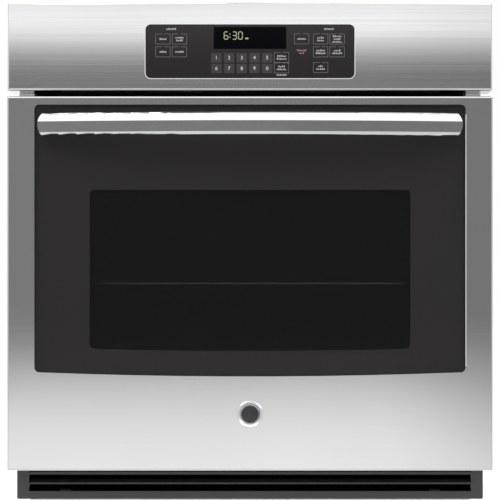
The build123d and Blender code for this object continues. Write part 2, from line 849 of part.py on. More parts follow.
with BuildPart() as hinge_channels:
    for side in (-1, 1):
        x = side * hinge_x
        low, high = pivot_z - 7, pivot_z - 7 + hinge_tall
        block((x - hinge_wide / 2, x + hinge_wide / 2), (y_inner - 36, y_inner - 4), (low, high))
        block(
            (x - hinge_wide / 2 + 2, x + hinge_wide / 2 - 2),
            (y_inner - 34, y_inner),
            (low - 1, high - 2),
            Mode.SUBTRACT,
        )
        rod("X", (x, pivot_y, pivot_z), hinge_pin + 0.02, 40, Mode.SUBTRACT)
save(hinge_channels, "hinge_channels")

with BuildPart() as hinge_pins:
    for side in (-1, 1):
        x = side * hinge_x
        rod("X", (x, pivot_y, pivot_z), hinge_pin, hinge_wide + 2)
        rod("X", (x + side * (hinge_wide / 2 + 1.5), pivot_y, pivot_z), hinge_pin + 2, 2)
save(hinge_pins, "hinge_pins")

with BuildPart() as hinge_springs:
    coil_low = pivot_z + 30
    coils = 26
    coil_pitch = 3.6
    for side in (-1, 1):
        for turn in range(coils):
            rod(
                "Z",
                (side * hinge_x, pivot_y - 6, coil_low + turn * coil_pitch),
                5.2,
                coil_pitch / 2 + 0.01,
            )
            rod(
                "Z",
                (side * hinge_x, pivot_y - 6, coil_low + (turn + 0.5) * coil_pitch),
                4.4,
                coil_pitch / 2 + 0.01,
            )
        rod(
            "Z",
            (side * hinge_x, pivot_y - 6, (pivot_z + 12 + coil_low) / 2),
            1.6,
            coil_low - pivot_z - 12,
        )
save(hinge_springs, "hinge_springs")

# ---- Door: skin, glass and inner structure ----
skin_depth = 34.0
top_depth = 26.0
badge_z = base_height + 79.0
badge_radius = 18.5
handle_length = 2 * (half_face - handle_inset)
post_x = handle_length / 2 - 9.0

with BuildPart() as door_skin:
    block((-half_face, half_face), (y_door, y_door + skin_depth), (base_height, door_top))
    fillet(door_skin.faces().sort_by(Axis.Y)[0].edges(), radius=skin_edge)
    block(
        (-half_face + skin_wall, half_face - skin_wall),
        (y_door + skin_wall, y_door + skin_depth + 1),
        (base_height + skin_wall, door_top - skin_wall),
        Mode.SUBTRACT,
    )
    block(
        (-half_face, half_face),
        (y_door + top_depth, y_door + skin_depth + 1),
        (door_top - 6, door_top + 1),
        Mode.SUBTRACT,
    )
    with BuildSketch(upright(y_door)) as glass_hole:
        arched_outline(half_glass, glass_low, glass_high, glass_arch)
        fillet(glass_hole.vertices(), radius=corner_radius)
    extrude(amount=5, both=True, mode=Mode.SUBTRACT)
    rod("Y", (0, y_door, badge_z), badge_radius + 0.1, 20, Mode.SUBTRACT)
    for side in (-1, 1):
        block(
            (side * hinge_x - arm_thick / 2 - 1.5, side * hinge_x + arm_thick / 2 + 1.5),
            (pivot_y - 9, y_inner + 1),
            (base_height - 1, base_height + 3),
            Mode.SUBTRACT,
        )
save(door_skin, "door_skin")

with BuildPart() as door_outer_glass:
    with BuildSketch(upright(y_door + skin_wall + outer_glass)) as glass_sheet:
        arched_outline(half_glass + 7, glass_low - 7, glass_high + 7, glass_arch)
        fillet(glass_sheet.vertices(), radius=corner_radius)
    extrude(amount=outer_glass)
    for side in (-1, 1):
        for z in (handle_z - 6, handle_z + 6):
            rod("Y", (side * post_x, y_door, z), 3.5, 30, Mode.SUBTRACT)
save(door_outer_glass, "door_outer_glass")

dome_half = 12.6
y_dome = y_door - 0.2
dome_radius = (dome_half**2 + 1.4**2) / (2 * 1.4)
with BuildPart() as badge:
    with BuildSketch(Plane.YZ):
        with BuildLine():
            Polyline(
                (y_door + 5, badge_z),
                (y_door + 5, badge_z + badge_radius - 2),
                (y_door + 0.9, badge_z + badge_radius),
                (y_door - 0.6, badge_z + badge_radius), (y_door - 1.0, badge_z + badge_radius - 0.8),
                (y_door + 2.6, badge_z + 13.4), (y_door + 1.2, badge_z + dome_half),
            )
            ThreePointArc(
                (y_door + 1.2, badge_z + dome_half),
                (
                    y_dome + dome_radius - sqrt(dome_radius**2 - (dome_half / 2) ** 2),
                    badge_z + dome_half / 2,
                ),
                (y_dome, badge_z),
            )
            Line((y_dome, badge_z), (y_door + 5, badge_z))
        make_face()
    revolve(axis=Axis((0, 0, badge_z), (0, 1, 0)))
save(badge, "badge")

rail_y = (y_door + 7.0, y_door + 38.0)
with BuildPart() as door_side_rails:
    for side in (-1, 1):
        near, far = hinge_x + hinge_wide / 2 + 3, half_face - 8
        block(mirrored(side, near, far), rail_y, (base_height + 7, door_top - 9))
        block(
            mirrored(side, near + 1.5, far - 1.5),
            (rail_y[0] + 1.5, rail_y[1] + 1),
            (base_height, door_top),
            Mode.SUBTRACT,
        )
        for z in (handle_z - 6, handle_z + 6):
            rod("Y", (side * post_x, y_door, z), 2.7, 30, Mode.SUBTRACT)
save(door_side_rails, "door_side_rails")

pane_half = half_window + 11.0
pack_z = (window_low - 12.0, window_high + 14.0)
pack_y = (y_door + 11.0, y_inner - 3.2)
with BuildPart() as window_frame:
    block((-pane_half, pane_half), pack_y, pack_z)
    block(
        (-pane_half + 1.5, pane_half - 1.5),
        (pack_y[0] - 1, pack_y[1] + 1),
        (pack_z[0] + 1.5, pack_z[1] - 1.5),
        Mode.SUBTRACT,
    )
    for low, high in ((pack_y[0], pack_y[0] + 1.5), (pack_y[0] + 5, pack_y[0] + 15)):
        block((-pane_half + 1, pane_half - 1), (low, high), (pack_z[0] + 1, pack_z[1] - 1))
        block(
            (-pane_half + 8, pane_half - 8),
            (low - 0.1, high + 0.1),
            (pack_z[0] + 8, pack_z[1] - 8),
            Mode.SUBTRACT,
        )
save(window_frame, "window_frame")

with BuildPart() as window_panes:
    for low in (pack_y[0] + 1.6, pack_y[0] + 15.1):
        block((-pane_half + 2, pane_half - 2), (low, low + pane_glass), (pack_z[0] + 2, pack_z[1] - 2))
save(window_panes, "window_panes")

boss_half = half_mouth - 20.0
boss_z = (floor_z + 14.0, ceiling_z - 14.0)
boss = 3.0
inner_half = half_face - 5.5
notch_half = arm_thick / 2 + 2.0
panel_split = latch_z - 13.5
strike_gap = (-26.0, 30.0)
with BuildPart() as door_inner_panel:
    block((-inner_half, inner_half), (y_inner - 10, y_inner), (base_height + 5, door_top - 5))
    fillet(door_inner_panel.edges().filter_by(Axis.Y), radius=3)
    block(
        (-inner_half + 1.5, inner_half - 1.5),
        (y_inner - 11, y_inner - 1.5),
        (base_height + 6.5, door_top - 6.5),
        Mode.SUBTRACT,
    )
    block((-boss_half, boss_half), (y_inner - 1.5, y_inner + boss), boss_z)
    fillet(door_inner_panel.edges().filter_by(Axis.Y).group_by(Axis.Y)[-1], radius=14)
    block(
        (-boss_half + 4, boss_half - 4),
        (y_inner - 2, y_inner + boss - 1.5),
        (boss_z[0] + 4, boss_z[1] - 4),
        Mode.SUBTRACT,
    )
    with BuildSketch(upright(y_inner)):
        with Locations((0, (window_low + window_high) / 2)):
            RectangleRounded(2 * half_window - 16, window_high - window_low - 12, 12)
    extrude(amount=10, both=True, mode=Mode.SUBTRACT)
    for side in (-1, 1):
        block(
            (side * hinge_x - notch_half, side * hinge_x + notch_half),
            (y_inner - 12, y_inner + 1),
            (base_height, pivot_z + 9),
            Mode.SUBTRACT,
        )
        block(
            (side * hinge_x - hinge_wide / 2 - 3.5, side * hinge_x + hinge_wide / 2 + 3.5),
            (y_inner - 12, y_inner - 1.5),
            (base_height, base_height + 8),
            Mode.SUBTRACT,
        )
    # Above the split the sheet is two strips, one on each side of the latch strike.
    block(strike_gap, (y_inner - 12, y_inner + 1), (panel_split, door_top), Mode.SUBTRACT)
    block(
        (-inner_half, inner_half),
        (y_inner - 12, y_inner + 1),
        (panel_split, panel_split + slip),
        Mode.SUBTRACT,
    )
save(door_inner_panel, "door_inner_panel")

with BuildPart() as latch_strike:
    block((-38, 42), (y_inner - 1.5 - strike_wall, y_inner - 1.5), (panel_split - 9, door_top - 8.5))
    fillet(latch_strike.edges().filter_by(Axis.Y), radius=3)
    block(latch_slot, (y_inner - 5, y_inner), latch_slot_z, Mode.SUBTRACT)
save(latch_strike, "latch_strike")

with BuildPart() as door_inner_glass:
    block(
        (-half_window - 4, half_window + 4),
        (y_inner + boss - 1.5 - inner_glass, y_inner + boss - 1.5),
        (window_low - 5, window_high + 5),
    )
save(door_inner_glass, "door_inner_glass")

with BuildPart() as door_insulation:
    block((-hinge_x + 14, hinge_x - 14), (y_door + 10.5, y_inner - 5), (base_height + 14, latch_z - 14))
    block(
        (-pane_half - 1, pane_half + 1),
        (y_door, y_inner),
        (pack_z[0] - 1, pack_z[1] + 1),
        Mode.SUBTRACT,
    )
save(door_insulation, "door_insulation")

with BuildPart() as door_vent_trim:
    block(
        (-inner_half, inner_half),
        (y_door + top_depth + 0.2, y_inner),
        (door_top - 4.8, door_top - 0.2),
    )
    slots = int(inner_half / 12)
    with Locations((0, y_door + top_depth + 4, door_top - 2.5)):
        with GridLocations(2 * (inner_half - 14) / (slots - 1), 1, slots, 1):
            Box(14, 3, 10, mode=Mode.SUBTRACT)
save(door_vent_trim, "door_vent_trim")

# ---- Handle: a bar bowed outward, on two end posts ----
bow_radius = ((handle_length / 2) ** 2 + handle_bow**2) / (2 * handle_bow)
y_bar = y_door - handle_reach
bow_centre = y_bar + bow_radius
bow_angle = 2 * degrees(asin((handle_length / 2 + 4) / bow_radius))
end_radius = ((handle_tall / 2) ** 2 + end_sagitta**2) / (2 * end_sagitta)

with BuildPart() as handle_bar:
    with BuildSketch(Plane.YZ):
        with BuildLine():
            half_tall = handle_tall / 2
            front, back = y_bar, y_bar + handle_deep
            Line((front + 5.2, handle_z + half_tall - 3), (front, handle_z + 4))
            Line((front, handle_z + 4), (front, handle_z - half_tall + 5))
            ThreePointArc(
                (front, handle_z - half_tall + 5),
                (front + 1.6, handle_z - half_tall + 1.4),
                (front + 5, handle_z - half_tall),
            )
            Line((front + 5, handle_z - half_tall), (back - 3, handle_z - half_tall + 2))
            ThreePointArc(
                (back - 3, handle_z - half_tall + 2),
                (back, handle_z - half_tall + 6),
                (back, handle_z - half_tall + 8),
            )
            Line((back, handle_z - half_tall + 8), (back, handle_z + half_tall - 6))
            ThreePointArc(
                (back, handle_z + half_tall - 6),
                (front + 10, handle_z + half_tall),
                (front + 5.2, handle_z + half_tall - 3),
            )
        make_face()
    revolve(axis=Axis((0, bow_centre, 0), (0, 0, 1)), revolution_arc=bow_angle / 2)
    mirror(about=Plane.YZ)
    half_bar = handle_length / 2
    with BuildSketch(upright(y_door)):
        with BuildLine():
            for end in (-1, 1):
                ThreePointArc(
                    (end * (half_bar - end_sagitta), handle_z - half_tall),
                    (end * half_bar, handle_z),
                    (end * (half_bar - end_sagitta), handle_z + half_tall),
                )
            for level in (-1, 1):
                Line(
                    (-half_bar + end_sagitta, handle_z + level * half_tall),
                    (half_bar - end_sagitta, handle_z + level * half_tall),
                )
        make_face()
    extrude(amount=2 * handle_reach, mode=Mode.INTERSECT)
save(handle_bar, "handle_bar")

bar_back = bow_centre - sqrt((bow_radius - handle_deep) ** 2 - (post_x - post_wide / 2) ** 2)
bar_gap = y_door - bow_centre + sqrt((bow_radius - handle_deep) ** 2 - (post_x + post_wide / 2) ** 2)
screw_grip = bar_gap - slip
with BuildPart() as handle_posts:
    for side in (-1, 1):
        block(
            (side * post_x - post_wide / 2, side * post_x + post_wide / 2),
            (bar_back - 8, y_door + skin_wall),
            (handle_z - post_tall / 2, handle_z + post_tall / 2),
        )
    fillet(handle_posts.edges().filter_by(Axis.Y), radius=4)
    add(handle_bar.part, mode=Mode.SUBTRACT)
    for side in (-1, 1):
        for z in (handle_z - 6, handle_z + 6):
            rod("Y", (side * post_x, y_door, z), 2.3, 2 * bar_gap, Mode.SUBTRACT)
save(handle_posts, "handle_posts")

with BuildPart() as handle_screws:
    for side in (-1, 1):
        for z in (handle_z - 6, handle_z + 6):
            rod("Y", (side * post_x, y_door + (9.5 - screw_grip) / 2, z), 2.1, 9.5 + screw_grip)
            rod("Y", (side * post_x, y_door + 10, z), 4.5, 3)
save(handle_screws, "handle_screws")

# ---- Racks ----
rail_x = half_mouth - 5.0
rack_y = (y_frame + 40.0, y_wall - 24.0)


def rack(z, name):
    """A wire rack whose side rails stand on the ledges at height z."""
    level = z + ledge_height + moving_gap + rack_rail
    wires = int(2 * rail_x / wire_pitch)
    middle = sum(rack_y) / 2
    long = rack_y[1] - rack_y[0]
    with BuildPart() as wire_rack:
        for side in (-1, 1):
            rod("Y", (side * rail_x, middle, level), rack_rail, long + 8)
        for y in (rack_y[0], rack_y[0] + 14, middle, rack_y[1]):
            rod("X", (0, y, level), rack_bar, 2 * rail_x)
        for step in range(wires):
            x = (step - (wires - 1) / 2) * wire_pitch
            rod("Y", (x, middle, level + rack_bar), rack_wire, long + 3)
    save(wire_rack, name)


rack(rack_heights[1], "upper_rack")
rack(rack_heights[0], "lower_rack")
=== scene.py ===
"""Looks for a built-in electric wall oven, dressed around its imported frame.

Every place comes from the frame's own boxes, in metres. The front faces -Y and +Z is up.
"""

import logging
import math
from dataclasses import dataclass, field
from enum import Enum
from typing import Callable, Sequence

import bmesh
import bpy
from mathutils import Matrix, Vector, noise


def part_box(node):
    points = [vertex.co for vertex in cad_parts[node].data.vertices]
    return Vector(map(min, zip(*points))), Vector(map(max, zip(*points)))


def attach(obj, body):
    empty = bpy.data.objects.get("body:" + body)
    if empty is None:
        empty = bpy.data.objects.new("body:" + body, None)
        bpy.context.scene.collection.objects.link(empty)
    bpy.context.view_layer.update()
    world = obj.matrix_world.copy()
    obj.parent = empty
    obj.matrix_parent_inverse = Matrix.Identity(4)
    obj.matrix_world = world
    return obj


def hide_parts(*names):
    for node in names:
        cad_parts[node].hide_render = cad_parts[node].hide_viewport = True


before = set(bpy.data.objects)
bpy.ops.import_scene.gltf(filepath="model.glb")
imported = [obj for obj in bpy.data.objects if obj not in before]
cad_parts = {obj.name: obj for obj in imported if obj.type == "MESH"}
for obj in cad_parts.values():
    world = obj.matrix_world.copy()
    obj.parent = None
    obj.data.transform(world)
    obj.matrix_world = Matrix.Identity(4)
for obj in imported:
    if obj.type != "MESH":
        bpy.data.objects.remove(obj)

MM = 0.001
CASE = "oven_case"
DOOR = "door"
NODES: dict[str, bpy.types.Object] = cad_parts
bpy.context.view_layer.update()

log = logging.getLogger("wall_oven")

Point = tuple[float, float, float]
Socket = bpy.types.NodeSocket
Colour = tuple[float, float, float]


# ---------------------------------------------------------------------------
# Shading helpers
# ---------------------------------------------------------------------------


class Grain(Enum):
    """Which way the brush marks of a metal run."""

    ACROSS = (2.0, 700.0, 700.0)
    UPRIGHT = (700.0, 700.0, 2.0)
    INWARD = (700.0, 2.0, 700.0)


class Shade:
    """One material and the node tree that is being built for it."""

    def __init__(self, name: str) -> None:
        """Start a material with a Principled shader.

        Args:
            name: The finish's name.
        """
        self.material = bpy.data.materials.new(name)
        self.material.use_nodes = True
        self.nodes = self.material.node_tree.nodes
        self.links = self.material.node_tree.links
        self.surface = self.nodes["Principled BSDF"]
        self.place = self.nodes.new("ShaderNodeTexCoord").outputs["Object"]

    def set(self, **values: object) -> "Shade":
        """Set constant inputs on the Principled shader.

        Args:
            values: Input names in lower case with underscores, and their values.

        Returns:
            The same shade, for chaining.
        """
        for name, value in values.items():
            label = name.replace("_", " ").title().replace("Ior", "IOR")
            if isinstance(value, tuple) and len(value) == 3:
                value = (*value, 1.0)
            self.surface.inputs[label].default_value = value
        return self

    def noise(self, scale: Point, size: float = 1.0, detail: float = 4.0, rough: float = 0.55) -> Socket:
        """Add stretched noise in the piece's own coordinates.

        Args:
            scale: Stretch along X, Y and Z.
            size: The noise's own scale.
            detail: Octaves.
            rough: How strong the finer octaves are.

        Returns:
            The noise's value.
        """
        stretch = self.nodes.new("ShaderNodeMapping")
        stretch.inputs["Scale"].default_value = scale
        cloud = self.nodes.new("ShaderNodeTexNoise")
        cloud.inputs["Scale"].default_value = size
        cloud.inputs["Detail"].default_value = detail
        cloud.inputs["Roughness"].default_value = rough
        self.links.new(self.place, stretch.inputs["Vector"])
        self.links.new(stretch.outputs["Vector"], cloud.inputs["Vector"])
        return cloud.outputs["Fac"]

    def cells(self, size: float, feature: str = "F1") -> Socket:
        """Add Voronoi cells.

        Args:
            size: Cells per metre.
            feature: Which Voronoi feature to measure.

        Returns:
            The distance value.
        """
        web = self.nodes.new("ShaderNodeTexVoronoi")
        web.feature = feature
        web.inputs["Scale"].default_value = size
        self.links.new(self.place, web.inputs["Vector"])
        return web.outputs["Distance"]

    def spread(self, value: Socket, low: float, high: float, start: float = 0.3, stop: float = 0.7) -> Socket:
        """Map a value onto a range, clamped.

        Args:
            value: What is mapped.
            low: Result at start.
            high: Result at stop.
            start: Input that gives low.
            stop: Input that gives high.

        Returns:
            The mapped value.
        """
        mapped = self.nodes.new("ShaderNodeMapRange")
        for label, number in (("From Min", start), ("From Max", stop), ("To Min", low), ("To Max", high)):
            mapped.inputs[label].default_value = number
        self.links.new(value, mapped.inputs["Value"])
        return mapped.outputs["Result"]

    def blend(self, share: Socket, first: Colour, second: Colour) -> Socket:
        """Mix two colours by a share.

        Args:
            share: 0 gives the first colour and 1 the second.
            first: Linear RGB.
            second: Linear RGB.

        Returns:
            The mixed colour.
        """
        mix = self.nodes.new("ShaderNodeMix")
        mix.data_type = "RGBA"
        mix.inputs["A"].default_value = (*first, 1.0)
        mix.inputs["B"].default_value = (*second, 1.0)
        self.links.new(share, mix.inputs["Factor"])
        return mix.outputs["Result"]

    def drive(self, label: str, value: Socket) -> None:
        """Link a varying value to one of the Principled shader's inputs."""
        self.links.new(value, self.surface.inputs[label])

    def bump(self, height: Socket, strength: float, depth: float) -> None:
        """Raise the surface's normals by a height.

        Args:
            height: The height field.
            strength: How much of it shows.
            depth: Its depth in metres.
        """
        relief = self.nodes.new("ShaderNodeBump")
        relief.inputs["Strength"].default_value = strength
        relief.inputs["Distance"].default_value = depth
        self.links.new(height, relief.inputs["Height"])
        self.links.new(relief.outputs["Normal"], self.surface.inputs["Normal"])


@dataclass(frozen=True)
class Finish:
    """What every finish has: a name, and a material that is made once."""

    name: str

    def paint(self, shade: Shade) -> None:
        """Fill in the shade; each finish does this its own way."""
        raise NotImplementedError

    def material(self) -> bpy.types.Material:
        """Return the finish's material, making it the first time.

        Returns:
            The Blender material.
        """
        made = bpy.data.materials.get(self.name)
        if made is None:
            shade = Shade(self.name)
            self.paint(shade)
            made = shade.material
        return made


@dataclass(frozen=True)
class BrushedSteel(Finish):
    """Stainless sheet with fine one-way brush marks."""

    tint: Colour = (0.62, 0.62, 0.62)
    rough: float = 0.13
    vary: float = 0.03
    grain: Grain = Grain.ACROSS
    relief: float = 0.05

    def paint(self, shade: Shade) -> None:
        """Streaked roughness and faint streaked relief on a metal.

        Args:
            shade: The shade to fill in.
        """
        shade.set(base_color=self.tint, metallic=1.0, roughness=self.rough)
        streaks = shade.noise(self.grain.value, detail=3.0)
        cloud = shade.noise((5.0, 5.0, 5.0), detail=2.0)
        soft = tuple(channel * 0.965 for channel in self.tint)
        shade.drive("Base Color", shade.blend(shade.spread(cloud, 0.0, 1.0), soft, self.tint))
        shade.drive("Roughness", shade.spread(streaks, self.rough - self.vary, self.rough + self.vary))
        shade.bump(streaks, self.relief, 0.02 * MM)


@dataclass(frozen=True)
class Enamel(Finish):
    """Vitreous enamel with fine pale specks, glossy and slightly wavy."""

    ground: Colour = (0.012, 0.014, 0.018)
    speck: Colour = (0.35, 0.38, 0.42)
    density: float = 0.1
    rough: float = 0.16

    def paint(self, shade: Shade) -> None:
        """Specks from small cells over a dark ground.

        Args:
            shade: The shade to fill in.
        """
        shade.set(roughness=self.rough, coat_weight=0.4, coat_roughness=0.06)
        specks = shade.spread(shade.cells(520.0), 1.0, 0.0, self.density, self.density + 0.06)
        shade.drive("Base Color", shade.blend(specks, self.ground, self.speck))
        shade.bump(shade.noise((60.0, 60.0, 60.0)), 0.12, 0.4 * MM)


@dataclass(frozen=True)
class ZincSheet(Finish):
    """Galvanised sheet with large soft crystals of differing sheen."""

    tint: Colour = (0.50, 0.52, 0.53)
    rough: float = 0.38

    def paint(self, shade: Shade) -> None:
        """Crystal cells that vary in tone and roughness.

        Args:
            shade: The shade to fill in.
        """
        shade.set(metallic=0.85)
        web = shade.nodes.new("ShaderNodeTexVoronoi")
        web.inputs["Scale"].default_value = 85.0
        shade.links.new(shade.place, web.inputs["Vector"])
        split = shade.nodes.new("ShaderNodeSeparateColor")
        shade.links.new(web.outputs["Color"], split.inputs["Color"])
        tone = split.outputs["Red"]
        darker = tuple(channel * 0.80 for channel in self.tint)
        shade.drive("Base Color", shade.blend(tone, darker, self.tint))
        shade.drive("Roughness", shade.spread(tone, self.rough - 0.08, self.rough + 0.08, 0.0, 1.0))
        shade.bump(shade.noise((40.0, 40.0, 40.0)), 0.08, 0.3 * MM)


@dataclass(frozen=True)
class Coated(Finish):
    """Paint, plastic or plated metal: one tone with a fine skin texture."""

    tint: Colour = (0.05, 0.05, 0.05)
    rough: float = 0.4
    metallic: float = 0.0
    texture: float = 900.0
    relief: float = 0.15
    vary: float = 0.06
    sheen: float = 0.5

    def paint(self, shade: Shade) -> None:
        """Fine noise in tone, roughness and relief.

        Args:
            shade: The shade to fill in.
        """
        shade.set(metallic=self.metallic, specular_ior_level=self.sheen)
        pebble = shade.noise((self.texture,) * 3, detail=3.0)
        cloud = shade.noise((14.0, 14.0, 14.0), detail=3.0)
        darker = tuple(channel * 0.86 for channel in self.tint)
        shade.drive("Base Color", shade.blend(shade.spread(cloud, 0.0, 1.0), darker, self.tint))
        shade.drive("Roughness", shade.spread(cloud, self.rough - self.vary, self.rough + self.vary))
        shade.bump(pebble, self.relief, 0.05 * MM)


@dataclass(frozen=True)
class PaneGlass(Finish):
    """Sheet glass that is seen through, more or less tinted."""

    tint: Colour = (0.02, 0.02, 0.02)
    cover: float = 0.3
    sheen: float = 0.5
    rough: float = 0.02

    def paint(self, shade: Shade) -> None:
        """A clear glossy skin with a little float-glass wave.

        Args:
            shade: The shade to fill in.
        """
        shade.set(base_color=self.tint, roughness=self.rough, alpha=self.cover, specular_ior_level=self.sheen)
        shade.bump(shade.noise((3.0, 3.0, 3.0), detail=1.0), 0.02, 0.5 * MM)


@dataclass(frozen=True)
class GlossGlass(Finish):
    """Opaque black glass, as on a touch control."""

    tint: Colour = (0.0265, 0.0245, 0.0255)
    rough: float = 0.05
    sheen: float = 0.10

    def paint(self, shade: Shade) -> None:
        """Dark body colour under a polished face.

        Args:
            shade: The shade to fill in.
        """
        cloud = shade.noise((30.0, 30.0, 30.0))
        darker = tuple(channel * 0.92 for channel in self.tint)
        shade.set(roughness=self.rough, specular_ior_level=self.sheen)
        shade.drive("Base Color", shade.blend(cloud, darker, self.tint))


@dataclass(frozen=True)
class Ink(Finish):
    """Fired ceramic print, on or behind glass."""

    tint: Colour = (0.03, 0.03, 0.03)
    rough: float = 0.5
    sheen: float = 0.5

    def paint(self, shade: Shade) -> None:
        """A dense matt layer with a fine screen-print grain.

        Args:
            shade: The shade to fill in.
        """
        grain = shade.noise((2600.0, 2600.0, 2600.0), detail=1.0)
        paler = tuple(channel * 1.06 for channel in self.tint)
        shade.set(roughness=self.rough, specular_ior_level=self.sheen)
        shade.drive("Base Color", shade.blend(grain, self.tint, paler))


@dataclass(frozen=True)
class Glow(Finish):
    """A lit display segment."""

    tint: Colour = (0.50, 0.54, 0.32)
    body: Colour = (0.02, 0.02, 0.015)
    power: float = 0.85

    def paint(self, shade: Shade) -> None:
        """An emitting face with a little unevenness.

        Args:
            shade: The shade to fill in.
        """
        shade.set(base_color=self.body, roughness=0.4, emission_strength=self.power)
        cloud = shade.noise((400.0, 400.0, 400.0))
        paler = tuple(min(1.0, channel * 1.1) for channel in self.tint)
        shade.drive("Emission Color", shade.blend(cloud, self.tint, paler))


@dataclass(frozen=True)
class Wool(Finish):
    """Glass wool: matted fibres in a dull yellow."""

    tint: Colour = (0.62, 0.53, 0.27)

    def paint(self, shade: Shade) -> None:
        """Fibre noise in colour and relief.

        Args:
            shade: The shade to fill in.
        """
        fibre = shade.noise((160.0, 30.0, 300.0), detail=8.0, rough=0.75)
        pale = tuple(min(1.0, channel * 1.25) for channel in self.tint)
        shade.set(roughness=0.95, sheen_weight=0.3)
        shade.drive("Base Color", shade.blend(shade.spread(fibre, 0.0, 1.0), self.tint, pale))
        shade.bump(fibre, 0.8, 2.0 * MM)


@dataclass(frozen=True)
class Braid(Finish):
    """A tube woven from glass-fibre yarn."""

    tint: Colour = (0.16, 0.16, 0.155)
    pitch: float = 420.0

    def paint(self, shade: Shade) -> None:
        """Two crossing wave sets that read as a weave, with painted shade in its hollows.

        Args:
            shade: The shade to fill in.
        """
        heights = []
        for turn in (0.7, -0.7):
            tilt = shade.nodes.new("ShaderNodeMapping")
            tilt.inputs["Rotation"].default_value = (0.0, turn, 0.0)
            wave = shade.nodes.new("ShaderNodeTexWave")
            wave.inputs["Scale"].default_value = self.pitch / 6.0
            wave.inputs["Distortion"].default_value = 0.6
            shade.links.new(shade.place, tilt.inputs["Vector"])
            shade.links.new(tilt.outputs["Vector"], wave.inputs["Vector"])
            heights.append(wave.outputs["Fac"])
        top = shade.nodes.new("ShaderNodeMath")
        top.operation = "MAXIMUM"
        for socket, height in zip(top.inputs, heights):
            shade.links.new(height, socket)
        # Painted shade: the hollows between the yarns are darker than the yarn tops.
        dark = tuple(channel * 0.45 for channel in self.tint)
        shade.set(roughness=0.8, sheen_weight=0.2)
        shade.drive("Base Color", shade.blend(top.outputs["Value"], dark, self.tint))
        shade.bump(top.outputs["Value"], 0.9, 0.6 * MM)


# ---------------------------------------------------------------------------
# The oven's finishes
# ---------------------------------------------------------------------------

FACE_STEEL = BrushedSteel("face_steel", rough=0.07, vary=0.01)
HANDLE_STEEL = BrushedSteel("handle_steel", tint=(0.60, 0.60, 0.60), rough=0.08, vary=0.015)
# Painted highlight: a paler copy of the brushed steel, for the bright lines along the glass edges.
EDGE_HIGHLIGHT_STEEL = BrushedSteel("painted_edge_highlight", tint=(0.90, 0.90, 0.90), rough=0.45, vary=0.05)
POST_STEEL = BrushedSteel("post_steel", rough=0.22, grain=Grain.INWARD)
TRIM_STEEL = BrushedSteel("trim_steel", tint=(0.58, 0.58, 0.58), rough=0.26, grain=Grain.UPRIGHT)
RACK_PLATE = Coated("rack_plate", tint=(0.62, 0.62, 0.63), rough=0.16, metallic=1.0, relief=0.05)
ZINC = ZincSheet("zinc_sheet")
HINGE_ZINC = Coated("hinge_zinc", tint=(0.42, 0.41, 0.38), rough=0.36, metallic=1.0)
FASTENER = Coated("fastener_plate", tint=(0.55, 0.55, 0.56), rough=0.25, metallic=1.0)
GLAND_ZINC = Coated("gland_cast", tint=(0.46, 0.47, 0.48), rough=0.42, metallic=1.0, relief=0.4)
ENAMEL = Enamel("cavity_enamel")
PANEL_ENAMEL = Enamel("door_enamel", density=0.08)
ELEMENT = Coated("element_sheath", tint=(0.07, 0.068, 0.07), rough=0.55, metallic=0.6, relief=0.4)
DUCT = Coated("duct_sheet", tint=(0.012, 0.012, 0.013), rough=0.6, sheen=0.15)
TRIM_BLACK = Coated("trim_paint", tint=(0.036, 0.036, 0.036), rough=0.42, texture=700.0, relief=0.12)
# Painted shade: near-black with no sheen, so vent gaps read as deep shadow.
SHADOW_BLACK = Coated("shadow_paint", tint=(0.002, 0.002, 0.002), rough=0.8, sheen=0.0)
PLASTIC = Coated("black_moulding", tint=(0.02, 0.02, 0.021), rough=0.5, relief=0.3)
MOTOR = Coated(
    "motor_laminations", tint=(0.12, 0.12, 0.125), rough=0.5, metallic=0.8, texture=300.0, relief=0.3
)
BOARD = Coated("circuit_laminate", tint=(0.02, 0.12, 0.05), rough=0.3, relief=0.2)
WOOL = Wool("glass_wool")
BRAID = Braid("gasket_braid")
OUTER_GLASS = PaneGlass("door_glass", tint=(0.008, 0.008, 0.008), cover=0.38, sheen=0.18)
CLEAR_GLASS = PaneGlass("pane_glass", tint=(0.010, 0.012, 0.012), cover=0.12)
LENS_GLASS = PaneGlass("lens_glass", tint=(0.55, 0.55, 0.52), cover=0.45, rough=0.15)
TOUCH_GLASS = GlossGlass("touch_glass", tint=(0.0175, 0.0162, 0.0168))
BORDER_INK = Ink("glass_border_ink", tint=(0.066, 0.059, 0.062))
KEY_INK = Ink("key_ink", tint=(0.12, 0.116, 0.118))
PAD_INK = Ink("key_pad_ink", tint=(0.033, 0.031, 0.032), sheen=0.1)
LEGEND_INK = Ink("legend_ink", tint=(0.27, 0.27, 0.27))
NUMERAL_INK = Ink("numeral_ink", tint=(0.45, 0.45, 0.45))
STOP_INK = Ink("stop_ink", tint=(0.20, 0.11, 0.11))
DISPLAY_GLASS = GlossGlass("display_window", tint=(0.0015, 0.0014, 0.0022), sheen=0.02)
DIGITS = Glow("display_digits")
BADGE_CHROME = Coated("badge_chrome", tint=(0.66, 0.66, 0.67), rough=0.20, metallic=1.0, relief=0.05)
BADGE_DARK = Coated("badge_centre", tint=(0.03, 0.03, 0.033), rough=0.28, metallic=0.4)

